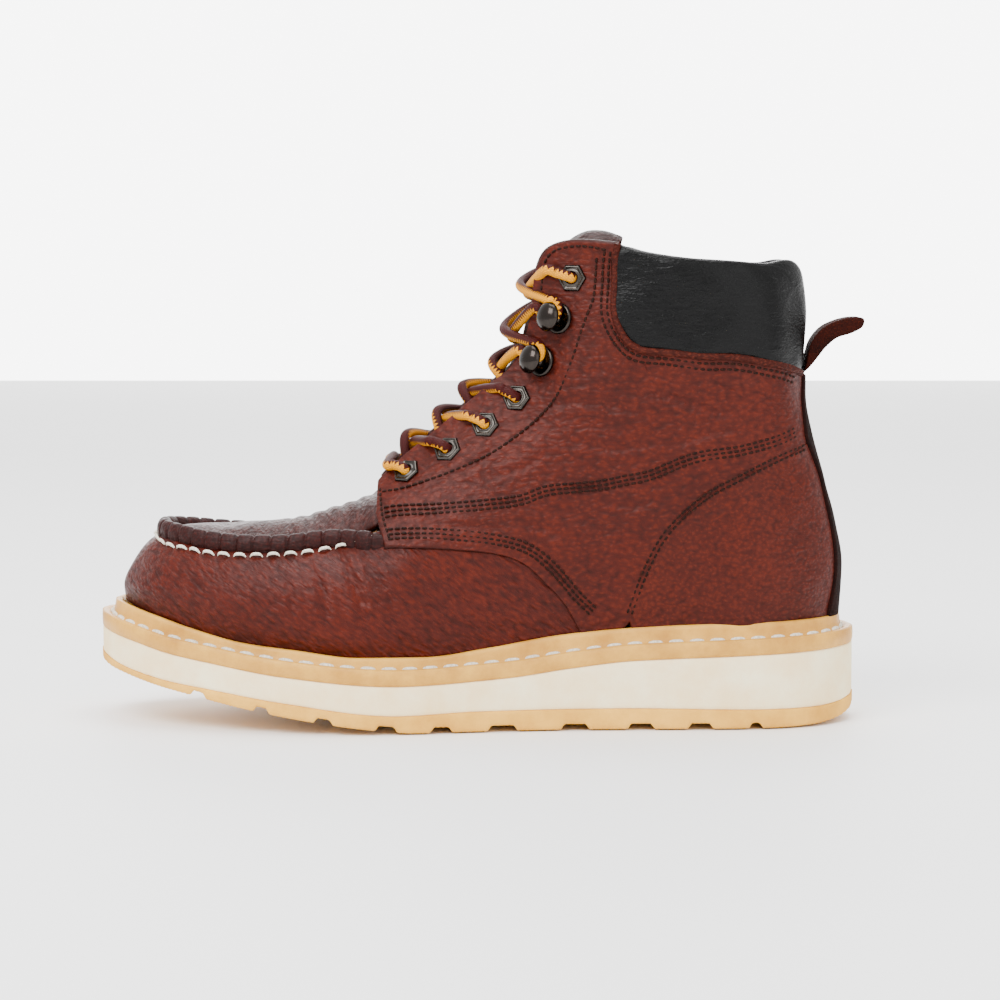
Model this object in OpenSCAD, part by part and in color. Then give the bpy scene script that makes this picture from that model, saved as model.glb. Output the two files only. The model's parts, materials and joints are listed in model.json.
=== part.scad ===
// Left work boot with a moc toe, a wedge sole and a steel toe cap.
// The toe points to -X, the outer (lateral) side faces -Y, +Z is up.
// The origin is on the ground, under the middle of the outsole.

/* [Size] */
// Length of the outsole, toe to heel
sole_length = 300; // [285:5:315]
// Thickness of the outer leather
leather_t = 2; // [1.6:0.2:2.2]
// How far the toe swings to the inner side of the foot
toe_swing = 9; // [6:1:12]

/* [Sole] */
// Depth of the notches between the edge lugs
notch_depth = 2.4; // [1.6:0.2:3]
// How far the notches run in from the sole's edge
notch_reach = 16; // [8:1:24]
// Width of the welt's flat ledge outside the upper
welt_ledge = 8.5; // [7:0.5:9]
// Thickness of the welt's outer flange
flange_t = 6.3; // [5:0.1:7]

/* [Inside] */
// Thickness of the steel toe cap and of the heel stiffener
stiffener_t = 1.6; // [1.2:0.1:1.8]
// Thickness of the linings
lining_t = 1; // [0.8:0.1:1.4]
// Thickness of the loose footbed
footbed_t = 4; // [3:0.5:5]

/* [Lacing] */
// Diameter of the round lace
lace_d = 4; // [3.5:0.1:4.4]
// Width of a hexagonal eyelet across its corners
eyelet_w = 11.5; // [10:0.5:12]
// Diameter of the hole in an eyelet
eyelet_hole = 5; // [4.6:0.1:5.4]

/* [Hidden] */

size_k = sole_length / 300;
gap = 0.3;
stiffener_depth = leather_t + gap;
lining_depth = stiffener_depth + stiffener_t + gap;

brown = [0.45, 0.2, 0.15];
brown_dark = [0.33, 0.16, 0.11];
tan = [0.8, 0.68, 0.44];
cream = [0.95, 0.9, 0.84];
rubber = [0.87, 0.75, 0.48];
black = [0.1, 0.1, 0.11];
lining_tan = [0.72, 0.55, 0.38];
gunmetal = [0.3, 0.3, 0.32];
steel = [0.6, 0.62, 0.65];
gold = [0.9, 0.65, 0.1];

// Sizes inside the boot: the shank's place, length and width, the tongue's layers, and the gap between soft layers
shank_from = -28;
shank_l = 127;
shank_w = 14;
tongue_t = 1.8;
padding_t = 2.4;
clear = 0.3;

// ---- smooth curves through a few points ----
function blend4(a, b, c, d, f) =
    0.5 * (2 * b + (c - a) * f + (2 * a - 5 * b + 4 * c - d) * f * f + (3 * b - a - 3 * c + d) * f * f * f);
function curve(p, u) =
    let (n = len(p) - 1, i = max(0, min(n - 1, floor(u * n))), f = u * n - i)
    blend4(i > 0 ? p[i - 1] : 2 * p[0] - p[1], p[i], p[i + 1], i + 2 <= n ? p[i + 2] : 2 * p[n] - p[n - 1], f);
function unit(v) = v / norm(v);
function mix(a, b, f) = a + (b - a) * f;
function swing(x) = toe_swing * pow(max(0, -x - 30) / 120, 1.7);

// ---- sole: half widths and side profiles ----
SOLE_HALF = [
    [-150, 0], [-147.5, 13], [-139, 27], [-123, 38], [-102, 46], [-78, 52], [-52, 54.5], [-26, 52.5],
    [0, 47.5], [26, 43.5], [52, 41.5], [78, 41], [102, 40], [122, 36], [137, 27], [147, 13], [150, 0]
];
GROUND = [
    [-151, 23.9], [-146, 21.3], [-138, 19.2], [-125, 15.9], [-110, 12.9], [-91, 9.1], [-64, 4.6], [-38, 1.2],
    [-22, 0], [115, 0], [131, 0.4], [143, 2], [151, 5.5]
];
TREAD_TOP = [
    [-151, 26.4], [-137, 21.5], [-120, 17.8], [-102, 15.4], [-72, 11.2], [-29, 6.7], [0, 7.7], [60, 8],
    [115, 7.2], [131, 7.3], [142, 8], [151, 10]
];
WEDGE_TOP = [
    [-151, 35.8], [-133, 32], [-120, 28.8], [-102, 25.8], [-72, 21.4], [-29, 18.2], [12, 20.5], [37, 23.9],
    [61, 26.6], [98, 28.1], [151, 29.9]
];
FEATHER = [
    [-151, 45.6], [-140, 44.4], [-126, 41.2], [-110, 36.9], [-90, 32.4], [-68, 30], [-45, 27.5], [-20, 27.4],
    [5, 30.3], [32, 34.7], [60, 37.4], [86, 38.7], [151, 40]
];
NOTCHES = [
    [-107, 5], [-82, 5], [-58, 6], [-34, 7], [-13, 7], [10.5, 10], [38.5, 9.6], [64, 9], [87, 8.4], [108.5, 4]
];

// Outline of the sole, drawn in by inset all round
function half_point(u, inset) =
    let (p = curve(SOLE_HALF, u), e = 0.004, q = curve(SOLE_HALF, min(1, u + e)) - curve(SOLE_HALF, max(0, u - e)),
         m = u <= 0 ? [1, 0] : u >= 1 ? [-1, 0] : unit([q[1], -q[0]]))
    p + inset * m;
function outline(inset, side) =
    [for (i = [0:40]) let (p = half_point(i / 40, inset)) [p[0], side * max(0, p[1]) + swing(p[0])]];
function closed_outline(inset) =
    let (a = outline(inset, -1), b = outline(inset, 1))
    concat(a, [for (i = [len(b) - 2:-1:1]) b[i]]);

// A slab of the sole between two side profiles
module layer(low, high, inset) {
    intersection() {
        translate([0, 0, -5]) linear_extrude(80) polygon(closed_outline(inset));
        rotate([90, 0, 0]) translate([0, 0, -80]) linear_extrude(160)
            polygon(concat(low, [for (i = [len(high) - 1:-1:0]) high[i]]));
    }
}
function raised(profile, dz) = [for (p = profile) [p[0], p[1] + dz]];

module outsole() {
    color(rubber) difference() {
        layer(GROUND, TREAD_TOP, 0);
        for (n = NOTCHES, side = [-1, 1]) {
            edge = lookup(n[0], SOLE_HALF);
            top = lookup(n[0], GROUND) + notch_depth;
            near = swing(n[0]) + (side > 0 ? edge - notch_reach : -edge - 5);
            translate([n[0] - n[1] / 2, near, -5])
                cube([n[1], notch_reach + 5, 5 + top]);
        }
    }
}
module midsole() {
    color(cream) layer(raised(TREAD_TOP, 0.02), WEDGE_TOP, 0.3);
}
module welt() {
    color(tan) difference() {
        union() {
            layer(raised(WEDGE_TOP, 0.02), raised(WEDGE_TOP, flange_t), 0);
            layer(raised(WEDGE_TOP, flange_t), raised(FEATHER, -0.3), welt_ledge - 4);
        }
        layer(raised(WEDGE_TOP, -3), raised(FEATHER, 9), welt_ledge + 6);
    }
}
module filler() {
    color("peru") difference() {
        layer(raised(WEDGE_TOP, 0.05), raised(FEATHER, -3.6), welt_ledge + 6.3);
        translate([shank_from - 2, -shank_w / 2 - 1.5, 15]) cube([shank_l + 4, shank_w + 3, 40]);
    }
}
module shank() {
    color(steel) intersection() {
        translate([shank_from, -shank_w / 2, 0]) cube([shank_l, shank_w, 60]);
        layer(raised(FEATHER, -5.4), raised(FEATHER, -3.8), 10);
    }
}
module insole_board() {
    color("burlywood") layer(raised(FEATHER, -3.5), raised(FEATHER, -0.8), welt_ledge + 6.4);
}
module footbed() {
    color("dimgray") layer(raised(FEATHER, -0.6), raised(FEATHER, -0.6 + footbed_t), welt_ledge + 7.6);
}

// ---- upper: one smooth skin for each side, from the welt (s = 0) to the top edge (s = 1) ----
// Each column is [x, half width, z] from the feather line up, from the toe centre (t = 0)
// round to the heel centre (t = 1). Negative t is the lateral side.
SKIN = [
    [[-140, 0, 44.4], [-140.5, 0, 52], [-138, 0, 58.5], [-134.5, 0, 64.5], [-130.5, 0, 69], [-126, 0, 72]],
    [[-136, 13.5, 43.8], [-137, 13.5, 52], [-134.5, 13, 58], [-131, 12.5, 64], [-127.5, 12, 68.5], [-123, 11, 71.5]],
    [[-126, 26, 41.4], [-127, 27, 51], [-125, 26.5, 57], [-122, 25, 63], [-119, 22.5, 67.5], [-115, 20, 70.5]],
    [[-110, 35, 36.9], [-111, 37, 48], [-110, 37, 54.5], [-108.5, 35, 60.5], [-106.5, 31.5, 65.5], [-104, 27, 69]],
    [[-90, 41, 32.4], [-90, 44, 43], [-90, 44.5, 50], [-89, 42.5, 57], [-88.5, 38, 63.5], [-88, 31.5, 68]],
    [[-68, 45, 30], [-68, 48.5, 39], [-68, 49, 47], [-68, 47, 55], [-68, 41.5, 62.5], [-68, 33, 69]],
    [[-45, 46, 27.5], [-45.5, 49.5, 38], [-46.5, 49, 48.5], [-48, 45, 58.5], [-49.5, 37, 67.5], [-50, 24, 77]],
    [[-20, 43.5, 27.4], [-21, 46.5, 42], [-24, 45.5, 56], [-28, 40.5, 70], [-33, 30, 84], [-38, 13, 95]],
    [[5, 39, 30.3], [4, 41.5, 48], [0, 40.5, 64], [-5, 36, 81], [-11, 27, 98], [-17, 12.5, 113]],
    [[32, 35, 34.7], [30, 37, 55], [26, 36, 74], [19, 32.5, 93.5], [11, 25, 112.5], [3, 12.5, 130.5]],
    [[60, 33, 37.4], [57, 35, 61], [52, 34, 83], [43, 31.5, 105], [31, 26, 127], [18, 13.5, 148]],
    [[86, 33, 38.7], [84, 35, 66], [79, 34, 94], [69, 32, 123], [50, 30, 155], [24, 17, 190]],
    [[108, 32, 39.2], [108, 34, 66], [105, 33.5, 94], [98, 32.5, 123], [83, 33.5, 155], [60, 33, 190]],
    [[126, 24, 39.6], [127.3, 25.5, 66], [123.4, 25, 94], [117, 26, 123], [110, 30, 155], [97.2, 34.5, 187]],
    [[137.3, 13, 39.9], [138.8, 14, 66], [133.4, 13.5, 94], [126, 14, 123], [123.5, 17, 155], [119, 21, 186]],
    [[141.9, 0, 40], [142.4, 0, 66], [134.9, 0, 94], [128.6, 0, 123], [127.9, 0, 155], [127.9, 0, 186]]
];
LAST = len(SKIN) - 1;
function flip(p) = [p[0], -p[1], p[2]];
function column(i, s) =
    i < 0 ? flip(curve(SKIN[-i], s)) : i > LAST ? flip(curve(SKIN[2 * LAST - i], s)) : curve(SKIN[i], s);
function half_skin(t, s) =
    let (u = t * LAST, i = max(0, min(LAST - 1, floor(u))))
    blend4(column(i - 1, s), column(i, s), column(i + 1, s), column(i + 2, s), u - i);
// t runs from -1 (heel) by 0 (toe) to 1 (heel) and on past 1 to the lateral side again
function skin(t, s) =
    let (q = t > 1 ? t - 2 : t, p = half_skin(abs(q), s))
    [p[0], (q < 0 ? -1 : 1) * p[1] + swing(p[0]), p[2]];
function skin_normal(t, s) =
    let (e = 0.004, ds = skin(t, min(1, s + e)) - skin(t, max(0, s - e)), dt = skin(t + e, s) - skin(t - e, s))
    unit(cross(ds, dt));
function skin_at(t, s, depth) = skin(t, s) - depth * skin_normal(t, s);

// The [t, s] of the skin point seen from the side at [x, z], found by Newton steps
function limit(v, m) = max(-m, min(m, v));
function find(x, z, t = 0.6, s = 0.5, n = 30) =
    let (e = 0.002, p = half_skin(t, s), a = (half_skin(t + e, s) - p) / e, b = (half_skin(t, s + e) - p) / e,
         dx = x - p[0], dz = z - p[2], det = a[0] * b[2] - b[0] * a[2],
         nt = t + limit((dx * b[2] - b[0] * dz) / det, 0.08), ns = s + limit((a[0] * dz - dx * a[2]) / det, 0.2))
    n == 0 ? [t, s] : find(x, z, max(0.02, min(0.99, nt)), max(0, min(1, ns)), n - 1);
function find_all(points) = [for (p = points) find(p[0], p[1])];

// A closed shell between an outer and an inner grid of points
module shell(outer, inner) {
    rows = len(outer);
    cols = len(outer[0]);
    points = concat([for (r = outer) each r], [for (r = inner) each r]);
    n = rows * cols;
    function k(i, j) = i * cols + j;
    function two(a, b, c, d) = [[a, b, c], [a, c, d]];
    faces = concat(
        [for (i = [0:rows - 2], j = [0:cols - 2]) each two(k(i, j), k(i, j + 1), k(i + 1, j + 1), k(i + 1, j))],
        [for (i = [0:rows - 2], j = [0:cols - 2])
            each two(n + k(i, j), n + k(i + 1, j), n + k(i + 1, j + 1), n + k(i, j + 1))],
        [for (i = [0:rows - 2]) each two(k(i, 0), k(i + 1, 0), n + k(i + 1, 0), n + k(i, 0))],
        [for (i = [0:rows - 2])
            each two(k(i + 1, cols - 1), k(i, cols - 1), n + k(i, cols - 1), n + k(i + 1, cols - 1))],
        [for (j = [0:cols - 2]) each two(k(0, j + 1), k(0, j), n + k(0, j), n + k(0, j + 1))],
        [for (j = [0:cols - 2])
            each two(k(rows - 1, j), k(rows - 1, j + 1), n + k(rows - 1, j + 1), n + k(rows - 1, j))]
    );
    polyhedron(points, faces, 10);
}

// A leather panel between two edge curves of [t, s], from depth a to depth b under the skin
module panel(low, high, cols, rows, a, b, side = 1) {
    grid = [for (i = [0:cols]) [for (j = [0:rows])
        let (f = i / cols, q = mix(curve(low, f), curve(high, f), j / rows)) q]];
    function layer_at(depth) = [for (r = grid) [for (q = r) skin_at(side * q[0], q[1], depth)]];
    if (side > 0) shell(layer_at(a), layer_at(b));
    else mirror_shell(layer_at(a), layer_at(b));
}
module mirror_shell(outer, inner) {
    shell([for (i = [len(outer) - 1:-1:0]) outer[i]], [for (i = [len(inner) - 1:-1:0]) inner[i]]);
}
// A panel symmetric about the toe or the heel: edge curves run from the centre line outwards
function both_sides(edge, centre) = concat(
    [for (i = [len(edge) - 1:-1:1]) [2 * centre - edge[i][0], edge[i][1]]], edge);

// Seam lines on the side of the boot, as [x, z] seen from the side
VAMP_SEAM = [[-38, 70], [-24, 69.8], [-9, 69.2], [7, 67.6], [18, 64], [27, 56], [35, 47]];
BAND_SEAM = [[-36, 82], [-20, 84.4], [0, 86], [18, 88.2], [36, 93], [54, 96], [71, 99.6], [88, 104], [104, 108.6],
    [125, 113.8]];
COUNTER_SEAM = [[60, 46], [62, 52], [66, 61.5], [72, 72.5], [80, 82], [90, 90.5], [103, 97.6], [126, 107.4]];
THROAT_EDGE = [[-38, 93.5], [-20, 110], [-2, 125.5], [11, 136], [19, 148], [22, 162]];
BACKSTAY_FRONT = [[137, 44], [139.3, 56.5], [139.2, 69], [135.3, 86.4], [130.4, 103.5], [126.8, 113], [126.4, 129],
    [126.4, 136]];
COLLAR_SEAM = [[55, 187], [54.2, 172], [54.6, 157], [63, 146.6], [82, 144.4], [100, 143.4], [113, 141], [126, 136.5]];

LINING_TOP = [[113, 172], [98, 172.5], [82, 174], [62, 178.5], [46, 184], [32, 181.5], [26, 172], [21, 150], [10, 134],
    [-8, 119.5], [-24, 105.5], [-33, 96.5]];

moc_edge = [for (i = [0:5]) [i / LAST, 1]];
vamp_high = concat(moc_edge, [find(-52, 70.5)], find_all(VAMP_SEAM));
vamp_low = [for (i = [0:len(vamp_high) - 1]) [mix(0, find(37, 38.6)[0], i / (len(vamp_high) - 1)), 0]];
band = find_all(BAND_SEAM);
counter = find_all(COUNTER_SEAM);

module vamp() {
    color(brown) panel(both_sides(vamp_low, 0), both_sides(vamp_high, 0), 60, 7, 0, leather_t);
}
module side_panel(side) {
    vamp_edge = [for (p = VAMP_SEAM) find(p[0] + 0.4, p[1] + 0.8)];
    low = concat(vamp_edge, [find(41, 39.4), find(50, 39.8), find(58.6, 40.6)],
                 [for (p = COUNTER_SEAM) find(p[0] - 0.8, p[1] + 0.6)]);
    high = [for (i = [0:len(low) - 1]) curve([for (q = band) q - [0, 0.006]], i / (len(low) - 1))];
    color(brown) panel(low, high, 40, 6, 0, leather_t, side);
}
module quarter(side) {
    throat = find_all(THROAT_EDGE);
    flap = find_all([[23.6, 176], [30, 186], [42, 188.6]]);
    collar_edge = [for (p = COLLAR_SEAM) find(p[0] - 0.6, p[1] - 0.6)];
    high = concat(throat, flap, collar_edge);
    low = [for (i = [0:len(high) - 1]) curve(band, pow(i / (len(high) - 1), 1.1))];
    color(brown) difference() {
        panel(low, high, 42, 8, 0, leather_t, side);
        eyelet_holes(side);
    }
}
module counter_cover(side) {
    high = concat([find(59.6, 41.5)], counter);
    low = [for (i = [0:8]) [mix(find(59.6, 40.6)[0], find(134, 42.6)[0], i / 8), 0]];
    color(brown) panel(low, high, 22, 8, 0, leather_t, side);
}
module backstay() {
    front = [for (p = BACKSTAY_FRONT) find(p[0] + 0.5, p[1])];
    low = concat([[front[0][0], 0]], front);
    high = [for (q = low) [2 - q[0], q[1]]];
    color(brown_dark) panel(high, low, 18, 6, -0.6, leather_t);
}
module vamp_lining() {
    low = [[0, 0.01], [0.15, 0.01], [0.3, 0.01], [0.44, 0.01]];
    high = [[0, 0.97], [0.15, 0.97], [0.3, 0.97], [0.44, 0.9]];
    color(lining_tan) panel(both_sides(low, 0), both_sides(high, 0), 40, 7, lining_depth, lining_depth + lining_t);
}
module shaft_lining() {
    high = concat([[1, 0.9]], find_all(LINING_TOP));
    low = [for (i = [0:len(high) - 1]) [mix(1, 0.475, i / (len(high) - 1)), 0.01]];
    color(lining_tan) difference() {
        panel(both_sides(low, 1), both_sides(high, 1), 40, 8, lining_depth + lining_t, lining_depth);
        for (side = [-1, 1]) eyelet_holes(side);
    }
}
module steel_toe_cap() {
    low = [[0, 0.02], [0.1, 0.02], [0.2, 0.02], [0.29, 0.02]];
    high = [[0, 0.96], [0.1, 0.96], [0.2, 0.96], [0.27, 0.96]];
    color(steel) {
        panel(both_sides(low, 0), both_sides(high, 0), 30, 6, stiffener_depth, stiffener_depth + stiffener_t);
        dome(0, 0.56, 3, stiffener_t, 0.98);
    }
}
module heel_stiffener() {
    low = [[1, 0.02], [0.9, 0.02], [0.8, 0.02], [0.72, 0.02]];
    high = [[1, 0.34], [0.9, 0.33], [0.8, 0.3], [0.76, 0.2]];
    color("wheat") panel(both_sides(low, 1), both_sides(high, 1), 24, 4, stiffener_depth + stiffener_t,
                         stiffener_depth);
}

// ---- top of the foot: the plug inside the moc seam, by stations [x, half width, edge z, middle z] ----
PLUG = [[-121.3, 7.5, 73, 74], [-113, 15, 72.5, 75.5], [-102, 21.5, 71.5, 76], [-86, 26.5, 71, 77],
    [-68, 28, 72, 79.5], [-56, 28, 73, 82.5], [-46, 27, 75, 86], [-38, 25, 80, 90], [-31, 21, 87, 94]];
function dome_point(u, v, drop, spread) =
    let (p = curve(PLUG, u), w = p[1] * spread * v)
    [p[0], w + swing(p[0]), mix(p[3], p[2], pow(abs(v), 2.2)) - drop];
module dome(from, to, drop, thick, spread) {
    function grid(d) = [for (i = [0:16]) [for (j = [-6:6])
        let (q = dome_point(mix(from, to, i / 16), j / 6, d, spread)) q]];
    shell(grid(drop + thick), grid(drop));
}
module toe_plug() {
    color(brown) dome(0, 1, 0, leather_t, 1);
}
module plug_lining() {
    color(lining_tan) dome(0.04, 0.86, 5.2, lining_t, 0.84);
}

// ---- tubes swept along a list of points ----
function turn_with(n, t) = unit(n - (n * t) * t);
function tangents(p) = [for (i = [0:len(p) - 1]) unit(p[min(len(p) - 1, i + 1)] - p[max(0, i - 1)])];
function frames(t) = [for (i = 0, n = turn_with([0.3, 0.2, 1], t[0]); i < len(t);
    i = i + 1, n = i < len(t) ? turn_with(n, t[i]) : n) n];
module tube(path, r, sides) {
    t = tangents(path);
    n = frames(t);
    last = len(path) - 1;
    rings = [for (i = [0:last], a = [0:sides - 1])
        path[i] + r * (cos(a * 360 / sides) * n[i] + sin(a * 360 / sides) * cross(t[i], n[i]))];
    function k(i, a) = i * sides + (a % sides);
    faces = concat(
        [for (i = [0:last - 1], a = [0:sides - 1]) each
            [[k(i, a), k(i + 1, a), k(i + 1, a + 1)], [k(i, a), k(i + 1, a + 1), k(i, a + 1)]]],
        [[for (a = [0:sides - 1]) k(0, a)]], [[for (a = [sides - 1:-1:0]) k(last, a)]]);
    polyhedron(rings, faces, 10);
}
function smooth(points, steps) = [for (i = [0:(len(points) - 1) * steps]) curve(points, i / ((len(points) - 1) * steps))];

module moc_roll() {
    n = 44;
    function rail(i) = let (f = (i - n / 2) / (n / 2), q = curve(vamp_high, abs(f) * 0.5)) [sign(f) * q[0], q[1]];
    path = [for (i = [0:n]) let (q = rail(i), m = skin_normal(q[0], min(0.96, q[1])), h = unit([m[0], m[1], 0]))
        skin(q[0], q[1]) - 1.4 * h + [0, 0, 3.9]];
    color(brown_dark) tube(path, 2.9, 8);
}

// ---- heel, collar and tongue ----
module pull_tab() {
    color("saddlebrown") rotate([90, 0, 0]) translate([0, 0, -8]) linear_extrude(16)
        polygon([[129.6, 138.2], [133.8, 141.6], [137, 145.6], [141.2, 149.6], [148.3, 151.4], [152.2, 154.4],
                 [152.8, 156.6], [151.4, 159.2], [143.9, 158.4], [134.6, 154.6], [130.8, 149.5], [129.8, 144]]);
}
COLLAR_TOP = [[127.8, 174], [123, 180.5], [113, 179.5], [99, 180.3], [82, 181.4], [68, 183.2], [56.5, 186]];
module collar() {
    low = both_sides([for (p = concat([[127.8, 138.3]], [for (i = [6:-1:1]) COLLAR_SEAM[i] + [0.5, 0.7]]))
        let (q = find(p[0], p[1])) p[0] > 127.5 ? [1, q[1]] : q], 1);
    high = both_sides([for (p = COLLAR_TOP)
        let (q = find(p[0], p[1])) p[0] > 127.5 ? [1, q[1]] : q], 1);
    function puff(v, depth) = depth * sqrt(max(0, 1 - pow(abs(2 * v - 1), 3)));
    function grid(depth) = [for (i = [0:48]) [for (j = [0:8])
        let (q = mix(curve(low, i / 48), curve(high, i / 48), j / 8)) skin_at(q[0], q[1], 1.3 - puff(j / 8, depth))]];
    color(black) shell(grid(-2), grid(2.6));
}
// Stations of the tongue's front: [x, z, half width, how far the edges bend back]
TONGUE = [[-33.5, 88.5, 12, 5], [-14.2, 102.9, 13.5, 7], [4.1, 117.9, 14.5, 8], [16.2, 130.3, 14.5, 10], [16.8, 143, 14, 13],
    [19.2, 154, 14, 13], [22.5, 165, 14.5, 12], [27.6, 176.5, 15, 12], [34, 186, 17, 10], [42, 191.3, 18, 9],
    [50, 192.3, 18, 9], [58, 189.6, 17, 9]];
function tongue_point(u, v, depth) =
    let (p = curve(TONGUE, u), e = 0.01, d = curve(TONGUE, min(1, u + e)) - curve(TONGUE, max(0, u - e)),
         m = unit([d[1], 0, -d[0]]))
    [p[0], v * p[2], p[1]] + m * (depth + p[3] * v * v);
module tongue_sheet(from, to, depth, thick) {
    function grid(d) = [for (i = [0:20]) [for (j = [-5:5]) tongue_point(mix(from, to, i / 20), j / 5, d)]];
    shell(grid(depth + thick), grid(depth));
}
module tongue() {
    color(brown) tongue_sheet(0, 1, 0, tongue_t);
}
module tongue_padding() {
    color(lining_tan) tongue_sheet(0.06, 0.99, tongue_t + clear, padding_t);
}

// ---- eyelets and hooks: places on the skin as [x, z] ----
EYELETS = [[-26.4, 97.5], [-10.5, 106.3], [4.2, 116], [16.4, 126.5], [37.8, 173.4]];
HOOKS = [[26.8, 141], [33.3, 157.8]];
module on_skin(place, side) {
    q = find(place[0], place[1]);
    p = skin(side * q[0], q[1]);
    m = skin_normal(side * q[0], q[1]);
    translate(p) rotate([0, acos(m[2]), atan2(m[1], m[0])]) children();
}
module eyelet_holes(side) {
    for (e = EYELETS) on_skin(e, side) cylinder(h = 20, d = eyelet_hole + 0.4, center = true, $fn = 32);
}
module eyelets(side) {
    color(gunmetal) for (e = EYELETS) on_skin(e, side) translate([0, 0, 0.45]) difference() {
        union() {
            cylinder(h = 0.9, d = eyelet_w, $fn = 6);
            cylinder(h = 1.3, d = eyelet_hole + 2, $fn = 32);
        }
        cylinder(h = 8, d = eyelet_hole, center = true, $fn = 32);
    }
}
module hooks(side) {
    color(gunmetal) for (e = HOOKS) on_skin(e, side) translate([0, 0, 0.5]) {
        cylinder(h = 1.1, d = 12, $fn = 48);
        cylinder(h = 7, d = 3.4, $fn = 32);
        translate([0, 0, 5.6]) rotate_extrude($fn = 48)
            polygon([[0, 0], [4.6, 0], [5.4, 0.7], [5.3, 1.6], [4.2, 2.9], [2.4, 3.7], [0, 4]]);
    }
}

// ---- lace: two mirrored halves from the middle of the lowest bar up to the last eyelets ----
// Where the halves cross in front of the tongue, from the lowest bar up: [x, z]
CROSSINGS = [[-32.5, 103], [-25, 108], [-12.5, 117.5], [-2.5, 127.5], [9.4, 137], [14, 150.5], [20.4, 167.6]];
// The lace at an eyelet: over the quarter's edge, down the hole and back underneath, and at a hook: round its
// neck. Each point is [towards the throat, up along it, out of the leather].
AT_EYELET = [[8.5, -3.4, 3.2], [4.6, -1.6, 3.9], [1.7, -0.4, 3.6], [0.2, 0, 1.9], [0, 0, -2.5], [3, 0.4, -6.8],
    [9, 1.5, -8]];
AT_LAST = [[9, -6.5, 3.2], [5, -3, 3.9], [1.7, -0.8, 3.6], [0.2, 0, 1.9], [0, 0, -2.5], [-2.6, -0.4, -6.2]];
AT_HOOK = [[10, -6.4, 3.2], [6, -3.8, 3.9], [2.6, -2.5, 3.9], [1.2, 0, 3.9], [2.6, 2.5, 3.9], [6, 3, 3.9],
    [9, 0.6, 3.6]];
crossing_lift = [-2.9, 0, 3];
throat_ward = [-0.66, 0, 0.75];
function crossing_point(k, side) =
    let (c = CROSSINGS[k]) [c[0], swing(c[0]), c[1]] + (k > 0 && side > 0 ? crossing_lift : [0, 0, 0]);
function at_stop(place, side, route) =
    let (q = find(place[0], place[1]), p = skin(side * q[0], q[1]), m = skin_normal(side * q[0], q[1]),
         ahead = turn_with(throat_ward, m), along = side * cross(m, ahead))
    [for (r = route) p + r[0] * ahead + r[1] * along + r[2] * m];
function lace_half(first) = concat(
    [for (k = [0:6]) let (side = k % 2 == 0 ? first : -first,
        place = k < 4 ? EYELETS[k] : k < 6 ? HOOKS[k - 4] : EYELETS[4],
        route = k < 4 ? AT_EYELET : k < 6 ? AT_HOOK : AT_LAST)
        each concat([crossing_point(k, side)], at_stop(place, side, route))],
    [[LACE_END[0][0], first * LACE_END[0][1], LACE_END[0][2]]]);
LACE_END = [[42, 17.8, 172], [48, 19.4, 170.6], [55, 21, 166], [60, 22, 158], [62, 22, 146], [62, 22, 128],
    [63, 22, 110], [64, 22, 92], [64, 22, 74]];
module lace() {
    a = smooth(lace_half(1), 2);
    b = smooth(lace_half(-1), 2);
    color(gold) tube(concat([for (i = [len(a) - 1:-1:1]) a[i]], b), lace_d / 2, 8);
}
module lace_end(side) {
    color(gold) tube(smooth([for (p = LACE_END) [p[0], side * p[1], p[2]]], 1), lace_d / 2, 8);
}
module aglet(side) {
    tip = LACE_END[len(LACE_END) - 1];
    color("goldenrod") translate([tip[0], side * tip[1], tip[2] - 22]) cylinder(h = 21.8, d = lace_d, $fn = 24);
}

scale(size_k) outsole();
scale(size_k) midsole();
scale(size_k) welt();
scale(size_k) filler();
scale(size_k) shank();
scale(size_k) insole_board();
scale(size_k) footbed();
scale(size_k) steel_toe_cap();
scale(size_k) vamp();
scale(size_k) toe_plug();
scale(size_k) moc_roll();
scale(size_k) side_panel(-1);  // side_panel_lateral
scale(size_k) side_panel(1);  // side_panel_medial
scale(size_k) quarter(-1);  // quarter_lateral
scale(size_k) quarter(1);  // quarter_medial
scale(size_k) counter_cover(-1);  // counter_lateral
scale(size_k) counter_cover(1);  // counter_medial
scale(size_k) heel_stiffener();
scale(size_k) backstay();
scale(size_k) pull_tab();
scale(size_k) collar();
scale(size_k) vamp_lining();
scale(size_k) plug_lining();
scale(size_k) shaft_lining();
scale(size_k) tongue();
scale(size_k) tongue_padding();
scale(size_k) eyelets(-1);  // eyelets_lateral
scale(size_k) eyelets(1);  // eyelets_medial
scale(size_k) hooks(-1);  // hooks_lateral
scale(size_k) hooks(1);  // hooks_medial
scale(size_k) lace();
scale(size_k) lace_end(-1);  // lace_end_lateral
scale(size_k) lace_end(1);  // lace_end_medial
scale(size_k) aglet(-1);  // aglet_lateral
scale(size_k) aglet(1);  // aglet_medial
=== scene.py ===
"""Looks of the steel toe work boot: leather, stitching, sole, hardware and lace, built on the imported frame.
Lengths are in metres. The toe points to -X, the lateral side faces -Y, +Z is up."""
import json
import math

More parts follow.
